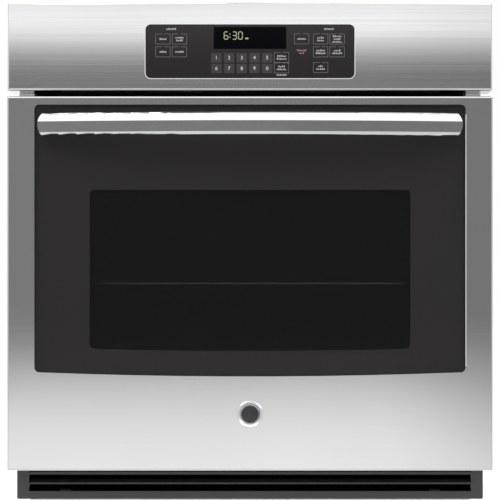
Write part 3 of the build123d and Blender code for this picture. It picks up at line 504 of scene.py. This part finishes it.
DRESS: dict[Finish, tuple[str, ...]] = {
    FACE_STEEL: ("control_skin", "door_skin"),
    HANDLE_STEEL: ("handle_bar",),
    POST_STEEL: ("handle_posts",),
    TRIM_STEEL: (
        "side_trim_left", "side_trim_right", "lamp_socket", "temperature_sensor", "broil_hangers",
        "window_frame", "latch_hook",
    ),
    ZINC: (
        "case_left_side", "case_right_side", "case_back", "case_top", "case_base", "base_rails",
        "control_chassis", "junction_box", "door_side_rails", "hinge_receivers", "latch_motor",
        "thermal_cutout",
    ),
    ENAMEL: ("oven_liner", "front_frame"),
    PANEL_ENAMEL: ("door_inner_panel",),
    ELEMENT: ("broil_element", "bake_element"),
    RACK_PLATE: ("upper_rack", "lower_rack"),
    HINGE_ZINC: ("hinge_arms", "hinge_channels", "hinge_pins", "hinge_springs", "latch_strike"),
    FASTENER: ("case_screws", "handle_screws"),
    OUTER_GLASS: ("door_outer_glass",),
    TOUCH_GLASS: ("control_glass",),
    CLEAR_GLASS: ("door_inner_glass", "window_panes"),
    LENS_GLASS: ("lamp_lens", "lamp_bulb"),
    TRIM_BLACK: ("base_trim",),
    # The door vent trim gets painted shade, so the vent gap above the door reads as deep shadow.
    SHADOW_BLACK: ("door_vent_trim",),
    DUCT: ("air_duct", "blower_housing", "oven_vent_tube"),
    PLASTIC: ("display_module", "terminal_block", "door_switch", "switch_plunger", "fan_wheel"),
    MOTOR: ("fan_motor",),
    BOARD: ("control_board",),
    GLAND_ZINC: ("conduit_gland",),
    BADGE_CHROME: ("badge",),
}


# ---------------------------------------------------------------------------
# Mesh helpers
# ---------------------------------------------------------------------------


def add_mesh(
    name: str, made: bmesh.types.BMesh, finish: Finish, body: str, smooth: bool = False
) -> bpy.types.Object:
    """Turn a bmesh into a piece that rides on a body.

    Args:
        name: The piece's name.
        made: Its mesh, in the frame's coordinates; it is freed.
        finish: Its finish.
        body: The body that it moves with.
        smooth: Whether its faces are shaded smooth.

    Returns:
        The new object.
    """
    data = bpy.data.meshes.new(name)
    bmesh.ops.recalc_face_normals(made, faces=made.faces)
    made.to_mesh(data)
    made.free()
    data.polygons.foreach_set("use_smooth", [smooth] * len(data.polygons))
    piece = bpy.data.objects.new(name, data)
    bpy.context.scene.collection.objects.link(piece)
    data.materials.append(finish.material())
    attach(piece, body)
    log.info("piece %s on %s", name, body)
    return piece


def bevel(piece: bpy.types.Object, width: float, segments: int = 2) -> bpy.types.Object:
    """Round a piece's sharp edges.

    Args:
        piece: The object.
        width: The bevel's width.
        segments: Its segments.

    Returns:
        The same object.
    """
    edge = piece.modifiers.new("edge", "BEVEL")
    edge.width = width
    edge.segments = segments
    edge.limit_method = "ANGLE"
    return piece


def ring_points(
    half: float, low: float, high: float, radius: float, sag: float = 0.0, steps: int = 8
) -> list[Vector]:
    """Points round a rectangle with round corners, whose bottom edge may sag.

    Args:
        half: Half the width.
        low: The bottom's lowest level.
        high: The top.
        radius: The corners' radius.
        sag: How far the bottom's middle hangs below its ends.
        steps: Points in each corner, less one.

    Returns:
        The points, anticlockwise in X and Z, at Y 0.
    """
    points = []
    corners = ((half, low + sag, -90), (half, high, 0), (-half, high, 90), (-half, low + sag, 180))
    for x, z, start in corners:
        cx = x - math.copysign(radius, x)
        cz = z + radius if z < high else z - radius
        for step in range(steps + 1):
            turn = math.radians(start + 90 * step / steps)
            points.append(Vector((cx + radius * math.cos(turn), 0, cz + radius * math.sin(turn))))
    if sag:
        first, last = points[0].x, points[-1].x
        for step in range(1, 24):
            x = last + (first - last) * step / 24
            points.append(Vector((x, 0, low + sag * (x / half) ** 2)))
    return points


def plate(
    outline: Sequence[Vector], y: float, thick: float, hole: Sequence[Vector] | None = None
) -> bmesh.types.BMesh:
    """Extrude an outline in X and Z into a plate, with one hole if given.

    Args:
        outline: The outer points.
        y: The front face's Y.
        thick: Its thickness towards +Y.
        hole: The hole's points, as many as the outline's.

    Returns:
        The mesh.
    """
    made = bmesh.new()
    depths = (y, y + thick)
    loops = filter(None, (outline, hole))
    rims = [[[made.verts.new((p.x, d, p.z)) for p in ring] for d in depths] for ring in loops]
    count = len(outline)
    for front, back in rims:
        for step in range(count):
            after = (step + 1) % count
            made.faces.new((front[step], front[after], back[after], back[step]))
    for layer in (0, 1):
        if hole:
            for step in range(count):
                after = (step + 1) % count
                outer, inner = rims[0][layer], rims[1][layer]
                made.faces.new((outer[step], outer[after], inner[after], inner[step]))
        else:
            made.faces.new(rims[0][layer])
    return made


def bar(made: bmesh.types.BMesh, centre: Sequence[float], size: Sequence[float]) -> None:
    """Add a box to a mesh.

    Args:
        made: The mesh.
        centre: The box's centre.
        size: Its size along X, Y and Z.
    """
    place = Matrix.Translation(Vector(centre)) @ Matrix.Diagonal((*size, 1.0))
    bmesh.ops.create_cube(made, size=1.0, matrix=place)


def swept_ring(
    path: Sequence[Vector], profile: Callable[[float], tuple[float, float]], sides: int
) -> bmesh.types.BMesh:
    """Sweep a closed profile round a closed path that lies in X and Z.

    Args:
        path: The path's points.
        profile: Gives, for an angle, how far out and how far towards -Y a point lies.
        sides: How many points the profile has.

    Returns:
        The mesh.
    """
    made = bmesh.new()
    rings = []
    count = len(path)
    for step, point in enumerate(path):
        along = (path[(step + 1) % count] - path[step - 1]).normalized()
        out = Vector((along.z, 0, -along.x))
        ring = []
        for side in range(sides):
            away, forward = profile(2 * math.pi * side / sides)
            ring.append(made.verts.new(point + out * away + Vector((0, -forward, 0))))
        rings.append(ring)
    for step in range(count):
        here, after = rings[step], rings[(step + 1) % count]
        for side in range(sides):
            other = (side + 1) % sides
            made.faces.new((here[side], here[other], after[other], after[side]))
    return made


# ---------------------------------------------------------------------------
# Sub-assemblies
# ---------------------------------------------------------------------------


class FrameDressing:
    """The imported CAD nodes, each given its finish."""

    def build(self) -> None:
        """Assign a material to every CAD node that DRESS lists."""
        for finish, names in DRESS.items():
            for name in names:
                node = NODES[name]
                node.data.materials.clear()
                node.data.materials.append(finish.material())
                log.info("node %s is %s", name, finish.name)


@dataclass
class DoorWindow:
    """The fired print on the back of the door's outer glass: a border round the see-through window."""

    side: float = 76.35 * MM
    above: float = 119.0 * MM
    below: float = 35.4 * MM
    overlap: float = 7.0 * MM
    glass_sag: float = 6.0 * MM
    window_sag: float = 3.0 * MM
    corner: float = 7.0 * MM
    film: float = 0.15 * MM

    def build(self) -> None:
        """Lay the border behind the glass, with the window cut out of it."""
        low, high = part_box("door_outer_glass")
        half = high.x - 0.5 * MM
        edge = half - self.overlap
        border = ring_points(half, low.z + 0.5 * MM, high.z - 0.5 * MM, self.corner, self.glass_sag, 8)
        window = ring_points(
            edge - self.side, low.z + self.overlap + self.below, high.z - self.overlap - self.above,
            self.corner, self.window_sag, 8,
        )
        sheet = plate(border, high.y + 0.05 * MM, self.film, window)
        add_mesh("door_glass_border", sheet, BORDER_INK, DOOR)


@dataclass(frozen=True)
class KeyPrint:
    """One outlined key: its middle on the glass in millimetres, and its legend's rows."""

    across: float
    up: float
    rows: tuple[int, ...]


@dataclass
class TouchPanel:
    """The print on the control glass, and the lit display behind it."""

    lift: float = 0.03 * MM
    film: float = 0.05 * MM
    line: float = 0.45 * MM
    display: tuple[float, float, float, float] = (-50.7, 50.7, 3.3, 34.2)
    key_size: tuple[float, float] = (20.3, 14.2)
    pad_size: tuple[float, float] = (14.6, 13.2)
    pad_columns: tuple[float, ...] = (-47.0, -29.3, -11.5, 6.2, 24.0)
    pad_rows: tuple[float, ...] = (-9.15, -24.1)
    keys: tuple[KeyPrint, ...] = (
        KeyPrint(-121.75, 17.1, (4,)),
        KeyPrint(-98.65, 17.1, (5, 4)),
        KeyPrint(-121.75, -0.8, (4,)),
        KeyPrint(-98.65, -0.8, (5,)),
        KeyPrint(98.65, 17.1, (4, 4)),
        KeyPrint(121.75, 17.1, (5, 4, 6)),
        KeyPrint(98.65, -0.8, (5, 6)),
        KeyPrint(121.75, -0.8, (4, 6)),
        KeyPrint(44.1, -8.6, (5, 6)),
        KeyPrint(44.1, -23.3, (4, 6)),
        KeyPrint(72.2, 17.4, (5,)),
        KeyPrint(98.7, -22.8, (3, 5)),
    )
    titles: tuple[tuple[float, float, int], ...] = ((-110.2, 31.1, 7), (110.2, 31.1, 8), (44.1, -33.0, 6))
    stop_key: tuple[float, float, tuple[int, ...]] = (72.2, -0.6, (6, 3))
    centre: Vector = field(default_factory=Vector)

    def __post_init__(self) -> None:
        """Find the control glass's middle and front face."""
        low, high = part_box("control_glass")
        self.centre = Vector(((low.x + high.x) / 2, low.y - self.lift, (low.z + high.z) / 2))

    def at(self, across: float, up: float, forward: float = 0.0) -> Vector:
        """A point on the glass, from its middle, in millimetres.

        Args:
            across: To the right.
            up: Upwards.
            forward: Towards the front.

        Returns:
            The point in the frame.
        """
        return self.centre + Vector((across * MM, -forward * MM, up * MM))

    def rectangle(self, made: bmesh.types.BMesh, across: float, up: float, wide: float, tall: float) -> None:
        """Add a printed patch centred at a place on the glass, in millimetres."""
        bar(made, self.at(across, up), (wide * MM, self.film, tall * MM))

    def outline(self, made: bmesh.types.BMesh, across: float, up: float, wide: float, tall: float) -> None:
        """Add a printed frame round a key, open at a small gap at its top.

        Args:
            made: The mesh to add to.
            across: The key's middle.
            up: The key's middle.
            wide: The key's width.
            tall: The key's height.
        """
        line = self.line / MM
        gap = 3.2
        self.rectangle(made, across, up - tall / 2, wide, line)
        for side in (-1, 1):
            self.rectangle(made, across + side * wide / 2, up, line, tall + line)
            self.rectangle(made, across + side * (wide + gap) / 4, up + tall / 2, (wide - gap) / 2, line)

    def legend(self, made: bmesh.types.BMesh, across: float, up: float, rows: Sequence[int]) -> None:
        """Add rows of small blocks that stand for a legend's letters.

        Args:
            made: The mesh to add to.
            across: The legend's middle.
            up: The legend's middle.
            rows: How many blocks each row has.
        """
        pitch = 3.9
        top = up + pitch * (len(rows) - 1) / 2
        for row, count in enumerate(rows):
            step = min(2.5, 14.0 / count)
            for place in range(count):
                tall = 2.0 + 0.6 * noise.cell(Vector((across + place, up, row)))
                x = across + (place - (count - 1) / 2) * step
                self.rectangle(made, x, top - row * pitch + (tall - 2.3) / 2, step * 0.68, tall)

    def numeral(self, text: str, across: float, up: float, size: float) -> bmesh.types.BMesh:
        """Make one printed numeral.

        Args:
            text: The numeral.
            across: Its middle.
            up: Its middle.
            size: Its height in millimetres.

        Returns:
            Its mesh.
        """
        curve = bpy.data.curves.new("numeral", "FONT")
        curve.body = text
        curve.size = size * 1.4 * MM
        curve.align_x = "CENTER"
        curve.align_y = "CENTER"
        curve.extrude = self.film / 2
        holder = bpy.data.objects.new("numeral", curve)
        data = bpy.data.meshes.new_from_object(holder)
        made = bmesh.new()
        made.from_mesh(data)
        place = Matrix.Translation(self.at(across, up, 1.2 * self.film / MM))
        bmesh.ops.transform(made, matrix=place @ Matrix.Rotation(math.pi / 2, 4, "X"), verts=made.verts)
        bpy.data.objects.remove(holder)
        bpy.data.curves.remove(curve)
        bpy.data.meshes.remove(data)
        return made

    def segments(self, made: bmesh.types.BMesh, lit: str, across: float, up: float, tall: float) -> None:
        """Add one seven-segment digit.

        Args:
            made: The mesh to add to.
            lit: Which of the segments a to g are lit.
            across: The digit's middle.
            up: The digit's middle.
            tall: Its height in millimetres.
        """
        wide, stroke, lean = tall * 0.52, tall * 0.095, 0.0
        level = {"a": 1, "g": 0, "d": -1}
        for name in lit:
            if name in level:
                shift = level[name] * tall / 2
                self.rectangle(made, across + shift * lean, up + shift, wide - stroke, stroke)
                continue
            side = 1 if name in "bc" else -1
            end = 1 if name in "bf" else -1
            shift = end * tall / 4
            place = Matrix.Translation(self.at(across + side * wide / 2 + shift * lean, up + shift))
            shear = Matrix.Identity(4)
            shear[0][2] = lean
            size = Matrix.Diagonal((stroke * MM, self.film, (tall / 2 - stroke) * MM, 1.0))
            bmesh.ops.create_cube(made, size=1.0, matrix=place @ shear @ size)

    def build(self) -> None:
        """Print the keys and the legends, and light the display."""
        outlines, pads, legends, stop = (bmesh.new() for _ in range(4))
        for key in self.keys:
            self.outline(outlines, key.across, key.up, *self.key_size)
            self.legend(legends, key.across, key.up, key.rows)
        for across, up, count in self.titles:
            self.legend(legends, across, up, (count,))
        self.legend(stop, *self.stop_key)
        number = 1
        for up in self.pad_rows:
            for across in self.pad_columns:
                self.rectangle(pads, across, up, *self.pad_size)
                numeral = self.numeral(str(number % 10), across, up, 5.0)
                add_mesh(f"key_numeral_{number % 10}", numeral, NUMERAL_INK, CASE)
                number += 1
        add_mesh("key_outlines", outlines, KEY_INK, CASE)
        add_mesh("key_pads", pads, PAD_INK, CASE)
        add_mesh("key_legends", legends, LEGEND_INK, CASE)
        add_mesh("stop_legend", stop, STOP_INK, CASE)
        self.build_display()

    def build_display(self) -> None:
        """Lay the dark display window and its lit time."""
        left, right, low, high = self.display
        window = bmesh.new()
        self.rectangle(window, (left + right) / 2, (low + high) / 2, right - left, high - low)
        bevel(add_mesh("display_window", window, DISPLAY_GLASS, CASE), 0.01 * MM)
        lit = bmesh.new()
        self.centre.y -= self.film
        for shape, across in (("acdefg", -33.5), ("abcdg", -21.6), ("abcdef", -13.4)):
            self.segments(lit, shape, across, 22.0, 10.2)
        for shift in (-2.2, 2.2):
            self.rectangle(lit, -28.0, 22.0 + shift, 1.3, 1.3)
        self.rectangle(lit, -5.6, 18.0, 1.8, 2.2)
        self.rectangle(lit, -3.2, 18.0, 1.6, 2.2)
        add_mesh("display_time", lit, DIGITS, CASE)
        self.centre.y += self.film


@dataclass
class Gasket:
    """The woven tube that seals the door against the oven's mouth."""

    steps: int = 18
    sides: int = 14
    clips: int = 14

    def build(self) -> None:
        """Weave the tube round the mouth."""
        low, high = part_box("oven_gasket")
        deep, wide = high.y - low.y, 12.0 * MM
        inset = wide / 2
        centre_y = (low.y + high.y) / 2
        corner = 35.0 * MM - inset
        path = ring_points(high.x - inset, low.z + inset, high.z - inset, corner, 0.0, self.steps)
        path = self.refined(path, 6.0 * MM)
        for point in path:
            point.y = centre_y
        squeezed = deep / 2 * 0.98

        def profile(turn: float) -> tuple[float, float]:
            """The tube's section: wider than deep, as it is squeezed by the door."""
            return inset * 0.94 * math.cos(turn), squeezed * math.sin(turn)

        tube = add_mesh("gasket_tube", swept_ring(path, profile, self.sides), BRAID, CASE, smooth=True)
        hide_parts("oven_gasket")

    @staticmethod
    def refined(path: list[Vector], step: float) -> list[Vector]:
        """Split long runs of a closed path.

        Args:
            path: The path's points.
            step: The longest run that stays whole.

        Returns:
            The finer path.
        """
        finer = []
        for index, point in enumerate(path):
            after = path[(index + 1) % len(path)]
            parts = max(1, round((after - point).length / step))
            finer += [point.lerp(after, part / parts) for part in range(parts)]
        return finer


@dataclass
class Insulation:
    """Blankets of glass wool round the liner and inside the door."""

    cell: float = 22.0 * MM
    bulge: float = 1.2 * MM

    def slab(self, name: str, low: Vector, high: Vector, body: str) -> bpy.types.Object:
        """Make one blanket with soft edges and an uneven face.

        Args:
            name: The piece's name.
            low: Its lowest corner.
            high: Its highest corner.
            body: The body it rides on.

        Returns:
            The blanket.
        """
        made = bmesh.new()
        size = high - low
        counts = [max(2, min(24, round(length / self.cell))) for length in size]
        bmesh.ops.create_cube(made, size=1.0)
        for axis, count in enumerate(counts):
            for step in range(1, count):
                normal = Vector([1.0 if index == axis else 0.0 for index in range(3)])
                cut = normal * (step / count - 0.5)
                whole = made.verts[:] + made.edges[:] + made.faces[:]
                bmesh.ops.bisect_plane(made, geom=whole, plane_co=cut, plane_no=normal)
        for vertex in made.verts:
            spot = low + Vector([(vertex.co[index] + 0.5) * size[index] for index in range(3)])
            inward = (low + size / 2 - spot).normalized()
            vertex.co = spot + inward * self.bulge * (1.0 + noise.noise(spot * 30.0))
        piece = add_mesh(name, made, WOOL, body, smooth=True)
        return piece

    def build(self) -> None:
        """Wrap the liner in five blankets and fill the door's frame with four."""
        low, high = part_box("insulation_wrap")
        inner_low, inner_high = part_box("oven_liner")
        flange = 12.0 * MM
        left, right = inner_low.x + flange - 2 * MM, inner_high.x - flange + 2 * MM
        floor, roof = inner_low.z + flange - 20 * MM, inner_high.z - flange + 2 * MM
        back = inner_high.y + 1 * MM
        blankets = (
            ("wool_left", (low.x, low.y, low.z), (left, high.y, high.z)),
            ("wool_right", (right, low.y, low.z), (high.x, high.y, high.z)),
            ("wool_top", (left, low.y, roof), (right, back, high.z)),
            ("wool_floor", (left, low.y, low.z), (right, back, floor)),
            ("wool_back", (left, back, low.z), (right, high.y, high.z)),
        )
        made = [self.slab(name, Vector(first), Vector(last), CASE) for name, first, last in blankets]
        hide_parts("insulation_wrap")
        low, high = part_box("door_insulation")
        frame_low, frame_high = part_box("window_frame")
        pads = (
            ("door_wool_left", (low.x, low.y, low.z), (frame_low.x - 1 * MM, high.y, high.z)),
            ("door_wool_right", (frame_high.x + 1 * MM, low.y, low.z), (high.x, high.y, high.z)),
            ("door_wool_top", (frame_low.x, low.y, frame_high.z + 1 * MM), (frame_high.x, high.y, high.z)),
            ("door_wool_floor", (frame_low.x, low.y, low.z), (frame_high.x, high.y, frame_low.z - 1 * MM)),
        )
        made = [self.slab(name, Vector(first), Vector(last), DOOR) for name, first, last in pads]
        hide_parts("door_insulation")


@dataclass
class BadgeCentre:
    """The dark domed disc in the badge's dish; it carries no mark."""

    radius: float = 12.4 * MM
    rise: float = 1.4 * MM
    rings: int = 10
    sides: int = 48

    def build(self) -> None:
        """Turn the disc as a shallow dome just in front of the badge's own."""
        low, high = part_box("badge")
        middle = (low + high) / 2
        front = low.y + 0.8 * MM - 0.12 * MM
        made = bmesh.new()
        tip = made.verts.new((middle.x, front, middle.z))
        rows = []
        for ring in range(1, self.rings + 1):
            away = self.radius * ring / self.rings
            y = front + self.rise * (away / self.radius) ** 2
            turns = [2 * math.pi * side / self.sides for side in range(self.sides)]
            spots = [(middle.x + away * math.cos(t), y, middle.z + away * math.sin(t)) for t in turns]
            rows.append([made.verts.new(spot) for spot in spots])
        for side in range(self.sides):
            after = (side + 1) % self.sides
            made.faces.new((tip, rows[0][side], rows[0][after]))
            for near, far in zip(rows, rows[1:]):
                made.faces.new((near[side], far[side], far[after], near[after]))
        add_mesh("badge_disc", made, BADGE_DARK, DOOR, smooth=True)


@dataclass
class EdgeHighlightsAndVentShade:
    """Painted highlights: bright steel lines along the steel's edges beside the two glasses; and a painted
    shade sheet behind the base vents.
    """

    line: float = 0.9 * MM
    proud: float = 0.08 * MM
    overlap: float = 7.0 * MM

    def rim(self, name: str, glass: str, front: float, radius: float, body: str) -> None:
        """Lay a thin bright line round one glass, as a painted highlight along the steel's edge.

        Args:
            name: The piece's name.
            glass: The node of the glass.
            front: The steel's front face.
            radius: The glass's corner radius.
            body: The body it rides on.
        """
        low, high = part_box(glass)
        half = (high.x - low.x) / 2
        outer = ring_points(half + self.line, low.z - self.line, high.z + self.line, radius + self.line)
        inner = ring_points(half, low.z, high.z, radius)
        ring = plate(outer, front - self.proud, self.proud * 2, inner)
        add_mesh(name, ring, EDGE_HIGHLIGHT_STEEL, body)

    def build(self) -> None:
        """Make the painted highlight round the control glass, the painted highlight down the door glass's
        right edge, and the painted shade sheet behind the base vents.
        """
        self.rim("control_glass_painted_highlight", "control_glass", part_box("control_skin")[0].y, 7.5 * MM, CASE)
        # Painted highlight: a bright steel line down the door glass's right edge only, where the light
        # catches it.
        edge = bmesh.new()
        low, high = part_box("door_outer_glass")
        front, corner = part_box("door_skin")[0].y, 14.0 * MM
        centre = (high.x - self.overlap + self.line / 2, front, (low.z + high.z) / 2)
        bar(edge, centre, (self.line, self.proud * 2, high.z - low.z - 2 * (self.overlap + corner)))
        add_mesh("door_glass_painted_highlight", edge, EDGE_HIGHLIGHT_STEEL, DOOR)
        # Painted shade: a near-black sheet behind the base vents, so their gaps read as deep shadow.
        low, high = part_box("base_trim")
        shade_sheet = bmesh.new()
        centre = (0.0, high.y - 1.0 * MM, (low.z + high.z) / 2)
        bar(shade_sheet, centre, (high.x - low.x - 8 * MM, 1.0 * MM, high.z - low.z - 3 * MM))
        bevel(add_mesh("base_vent_painted_shade", shade_sheet, SHADOW_BLACK, CASE), 0.3 * MM)


# ---------------------------------------------------------------------------
# Studio
# ---------------------------------------------------------------------------


@dataclass
class Studio:
    """The floor, the plinth, the lights, the sky and the camera."""

    span: float = 698.8 * MM
    reach: float = 3.0
    eye: float = 353.7 * MM
    plinth: float = 70.0 * MM
    wall: tuple[tuple[float, float], ...] = (
        (-0.140, 1.13), (-0.124, 1.26), (-0.112, 1.366), (-0.104, 1.36), (-0.096, 1.29), (-0.088, 1.27),
        (-0.080, 1.208), (-0.072, 1.066), (-0.064, 0.94), (-0.056, 0.72), (-0.048, 0.499), (-0.040, 0.35),
        (-0.034, 0.285), (-0.024, 0.281), (-0.008, 0.302), (0.050, 0.30), (0.070, 0.288), (0.077, 0.25),
        (0.084, 0.14), (0.088, 0.175), (0.092, 0.47), (0.096, 1.03), (0.100, 1.66), (0.104, 1.94),
        (0.108, 1.80), (0.112, 1.46), (0.116, 1.18), (0.124, 0.93), (0.140, 0.95),
    )

    def camera(self) -> None:
        """Stand the camera square to the door, so that its face fills the frame."""
        data = bpy.data.cameras.new("camera")
        data.sensor_width = 36.0
        data.lens = 36.0 * self.reach / self.span
        data.clip_end = 100.0
        camera = bpy.data.objects.new("camera", data)
        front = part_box("door_skin")[0].y
        camera.location = (0.0, front - self.reach, self.eye)
        camera.rotation_euler = (math.radians(90.0), 0.0, 0.0)
        bpy.context.scene.collection.objects.link(camera)
        bpy.context.scene.camera = camera

    def sky(self) -> None:
        """A studio's walls as a sky: bright above and to the sides, with a grey band facing the oven."""
        world = bpy.data.worlds.new("studio")
        bpy.context.scene.world = world
        world.use_nodes = True
        nodes, links = world.node_tree.nodes, world.node_tree.links
        nodes.clear()
        place = nodes.new("ShaderNodeTexCoord")
        split = nodes.new("ShaderNodeSeparateXYZ")
        links.new(place.outputs["Generated"], split.inputs["Vector"])
        across, height = split.outputs["X"], split.outputs["Z"]

        def ranged(value: Socket, start: float, stop: float, low: float = 0.0, high: float = 1.0) -> Socket:
            """Map a value from a span onto a range, clamped."""
            mapped = nodes.new("ShaderNodeMapRange")
            for label, number in (("From Min", start), ("From Max", stop), ("To Min", low), ("To Max", high)):
                mapped.inputs[label].default_value = number
            links.new(value, mapped.inputs["Value"])
            return mapped.outputs["Result"]

        def maths(kind: str, first: Socket, second: Socket | float = 0.0):
            """Combine two values."""
            sum_node = nodes.new("ShaderNodeMath")
            sum_node.operation = kind
            links.new(first, sum_node.inputs[0])
            if isinstance(second, float):
                sum_node.inputs[1].default_value = second
            else:
                links.new(second, sum_node.inputs[1])
            return sum_node.outputs["Value"]

        def mixed(share: Socket, first: Socket, power: float) -> Socket:
            """Mix a colour towards a plain grey of a given power."""
            mix = nodes.new("ShaderNodeMix")
            mix.data_type = "RGBA"
            mix.inputs["B"].default_value = (power / 2, power / 2, power / 2, 1.0)
            links.new(share, mix.inputs["Factor"])
            links.new(first, mix.inputs["A"])
            return mix.outputs["Result"]

        away = maths("ABSOLUTE", across)
        right = ranged(across, 0.062, 0.115)
        dip = ranged(height, -0.24, -0.04, 0.072, 0.0)
        lean = ranged(height, -0.03, 0.0, 0.02, 0.0)
        dipped = maths("ADD", height, maths("MULTIPLY", dip, right))
        level = maths("ADD", dipped, maths("MULTIPLY", lean, away))
        ramp = nodes.new("ShaderNodeValToRGB")
        while len(ramp.color_ramp.elements) < len(self.wall):
            ramp.color_ramp.elements.new(0.5)
        first, last = self.wall[0][0], self.wall[-1][0]
        for element, (stop, power) in zip(ramp.color_ramp.elements, self.wall):
            element.position = (stop - first) / (last - first)
            element.color = (power / 2, power / 2, power / 2, 1.0)
        links.new(ranged(level, first, last), ramp.inputs["Fac"])
        shaded = mixed(maths("MULTIPLY", right, 0.11), ramp.outputs["Color"], 0.0)
        sided = mixed(ranged(away, 0.62, 0.85), shaded, 1.05)
        roofed = mixed(ranged(height, 0.45, 0.80), sided, 1.75)
        glow = nodes.new("ShaderNodeBackground")
        glow.inputs["Strength"].default_value = 2.0
        links.new(roofed, glow.inputs["Color"])
        plain = nodes.new("ShaderNodeBackground")
        plain.inputs["Color"].default_value = (1.0, 1.0, 1.0, 1.0)
        path = nodes.new("ShaderNodeLightPath")
        pick = nodes.new("ShaderNodeMixShader")
        links.new(path.outputs["Is Camera Ray"], pick.inputs["Fac"])
        links.new(glow.outputs["Background"], pick.inputs[1])
        links.new(plain.outputs["Background"], pick.inputs[2])
        end = nodes.new("ShaderNodeOutputWorld")
        links.new(pick.outputs["Shader"], end.inputs["Surface"])

    def lamp(
        self, name: str, place: Point, aim: Point, size: float, power: float, depth: float = 0.0
    ) -> None:
        """Hang one soft box.

        Args:
            name: Its name.
            place: Where it hangs.
            aim: The point it faces.
            size: Its side.
            power: Its power in watts.
            depth: Its other side, if it isn't square.
        """
        data = bpy.data.lights.new(name, "AREA")
        data.shape = "RECTANGLE"
        data.size = size
        data.size_y = depth or size
        data.energy = power
        lamp = bpy.data.objects.new(name, data)
        lamp.location = place
        lamp.rotation_euler = (Vector(aim) - Vector(place)).to_track_quat("-Z", "Y").to_euler()
        bpy.context.scene.collection.objects.link(lamp)

    def ground(self) -> None:
        """Lay the pale floor, and the low plinth that the oven stands on."""
        paper = Coated("studio_paper", tint=(0.90, 0.90, 0.90), rough=0.75, relief=0.02, vary=0.03)
        floor = bmesh.new()
        bmesh.ops.create_circle(
            floor, cap_ends=True, segments=96, radius=9.0, matrix=Matrix.Translation((0, 0, -self.plinth))
        )
        base_low, base_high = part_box("case_base")
        stand = bmesh.new()
        bar(
            stand,
            ((base_low.x + base_high.x) / 2, (base_low.y + base_high.y) / 2, -self.plinth / 2 - 0.2 * MM),
            (base_high.x - base_low.x, base_high.y - base_low.y, self.plinth),
        )
        for name, made in (("studio_floor", floor), ("studio_plinth", stand)):
            data = bpy.data.meshes.new(name)
            made.to_mesh(data)
            made.free()
            data.materials.append(paper.material())
            piece = bpy.data.objects.new(name, data)
            bpy.context.scene.collection.objects.link(piece)
            piece.visible_glossy = False

    def build(self) -> None:
        """Set the whole studio up."""
        bpy.context.scene.view_settings.view_transform = "Standard"
        self.sky()
        self.ground()
        self.lamp("key", (-1.6, -2.2, 2.6), (0, 0, 0.35), 1.6, 45.0)
        self.lamp("fill", (2.0, -1.8, 1.8), (0, 0, 0.35), 1.6, 22.0)
        self.lamp("back", (0.4, 2.4, 2.2), (0, 0, 0.4), 1.8, 35.0)
        self.lamp("cavity", (0, -0.19, 0.40), (0, -0.185, 0.30), 0.5, 0.05, 0.03)
        self.camera()


def main() -> None:
    """Dress the frame, add the pieces that only show, and set the studio up."""
    logging.basicConfig(level=logging.INFO, format="%(name)s: %(message)s")
    FrameDressing().build()
    parts = (DoorWindow(), TouchPanel(), EdgeHighlightsAndVentShade(), Gasket(), Insulation(), BadgeCentre(), Studio())
    for assembly in parts:
        assembly.build()
        log.info("built %s", type(assembly).__name__)


if __name__ == "__main__":
    main()
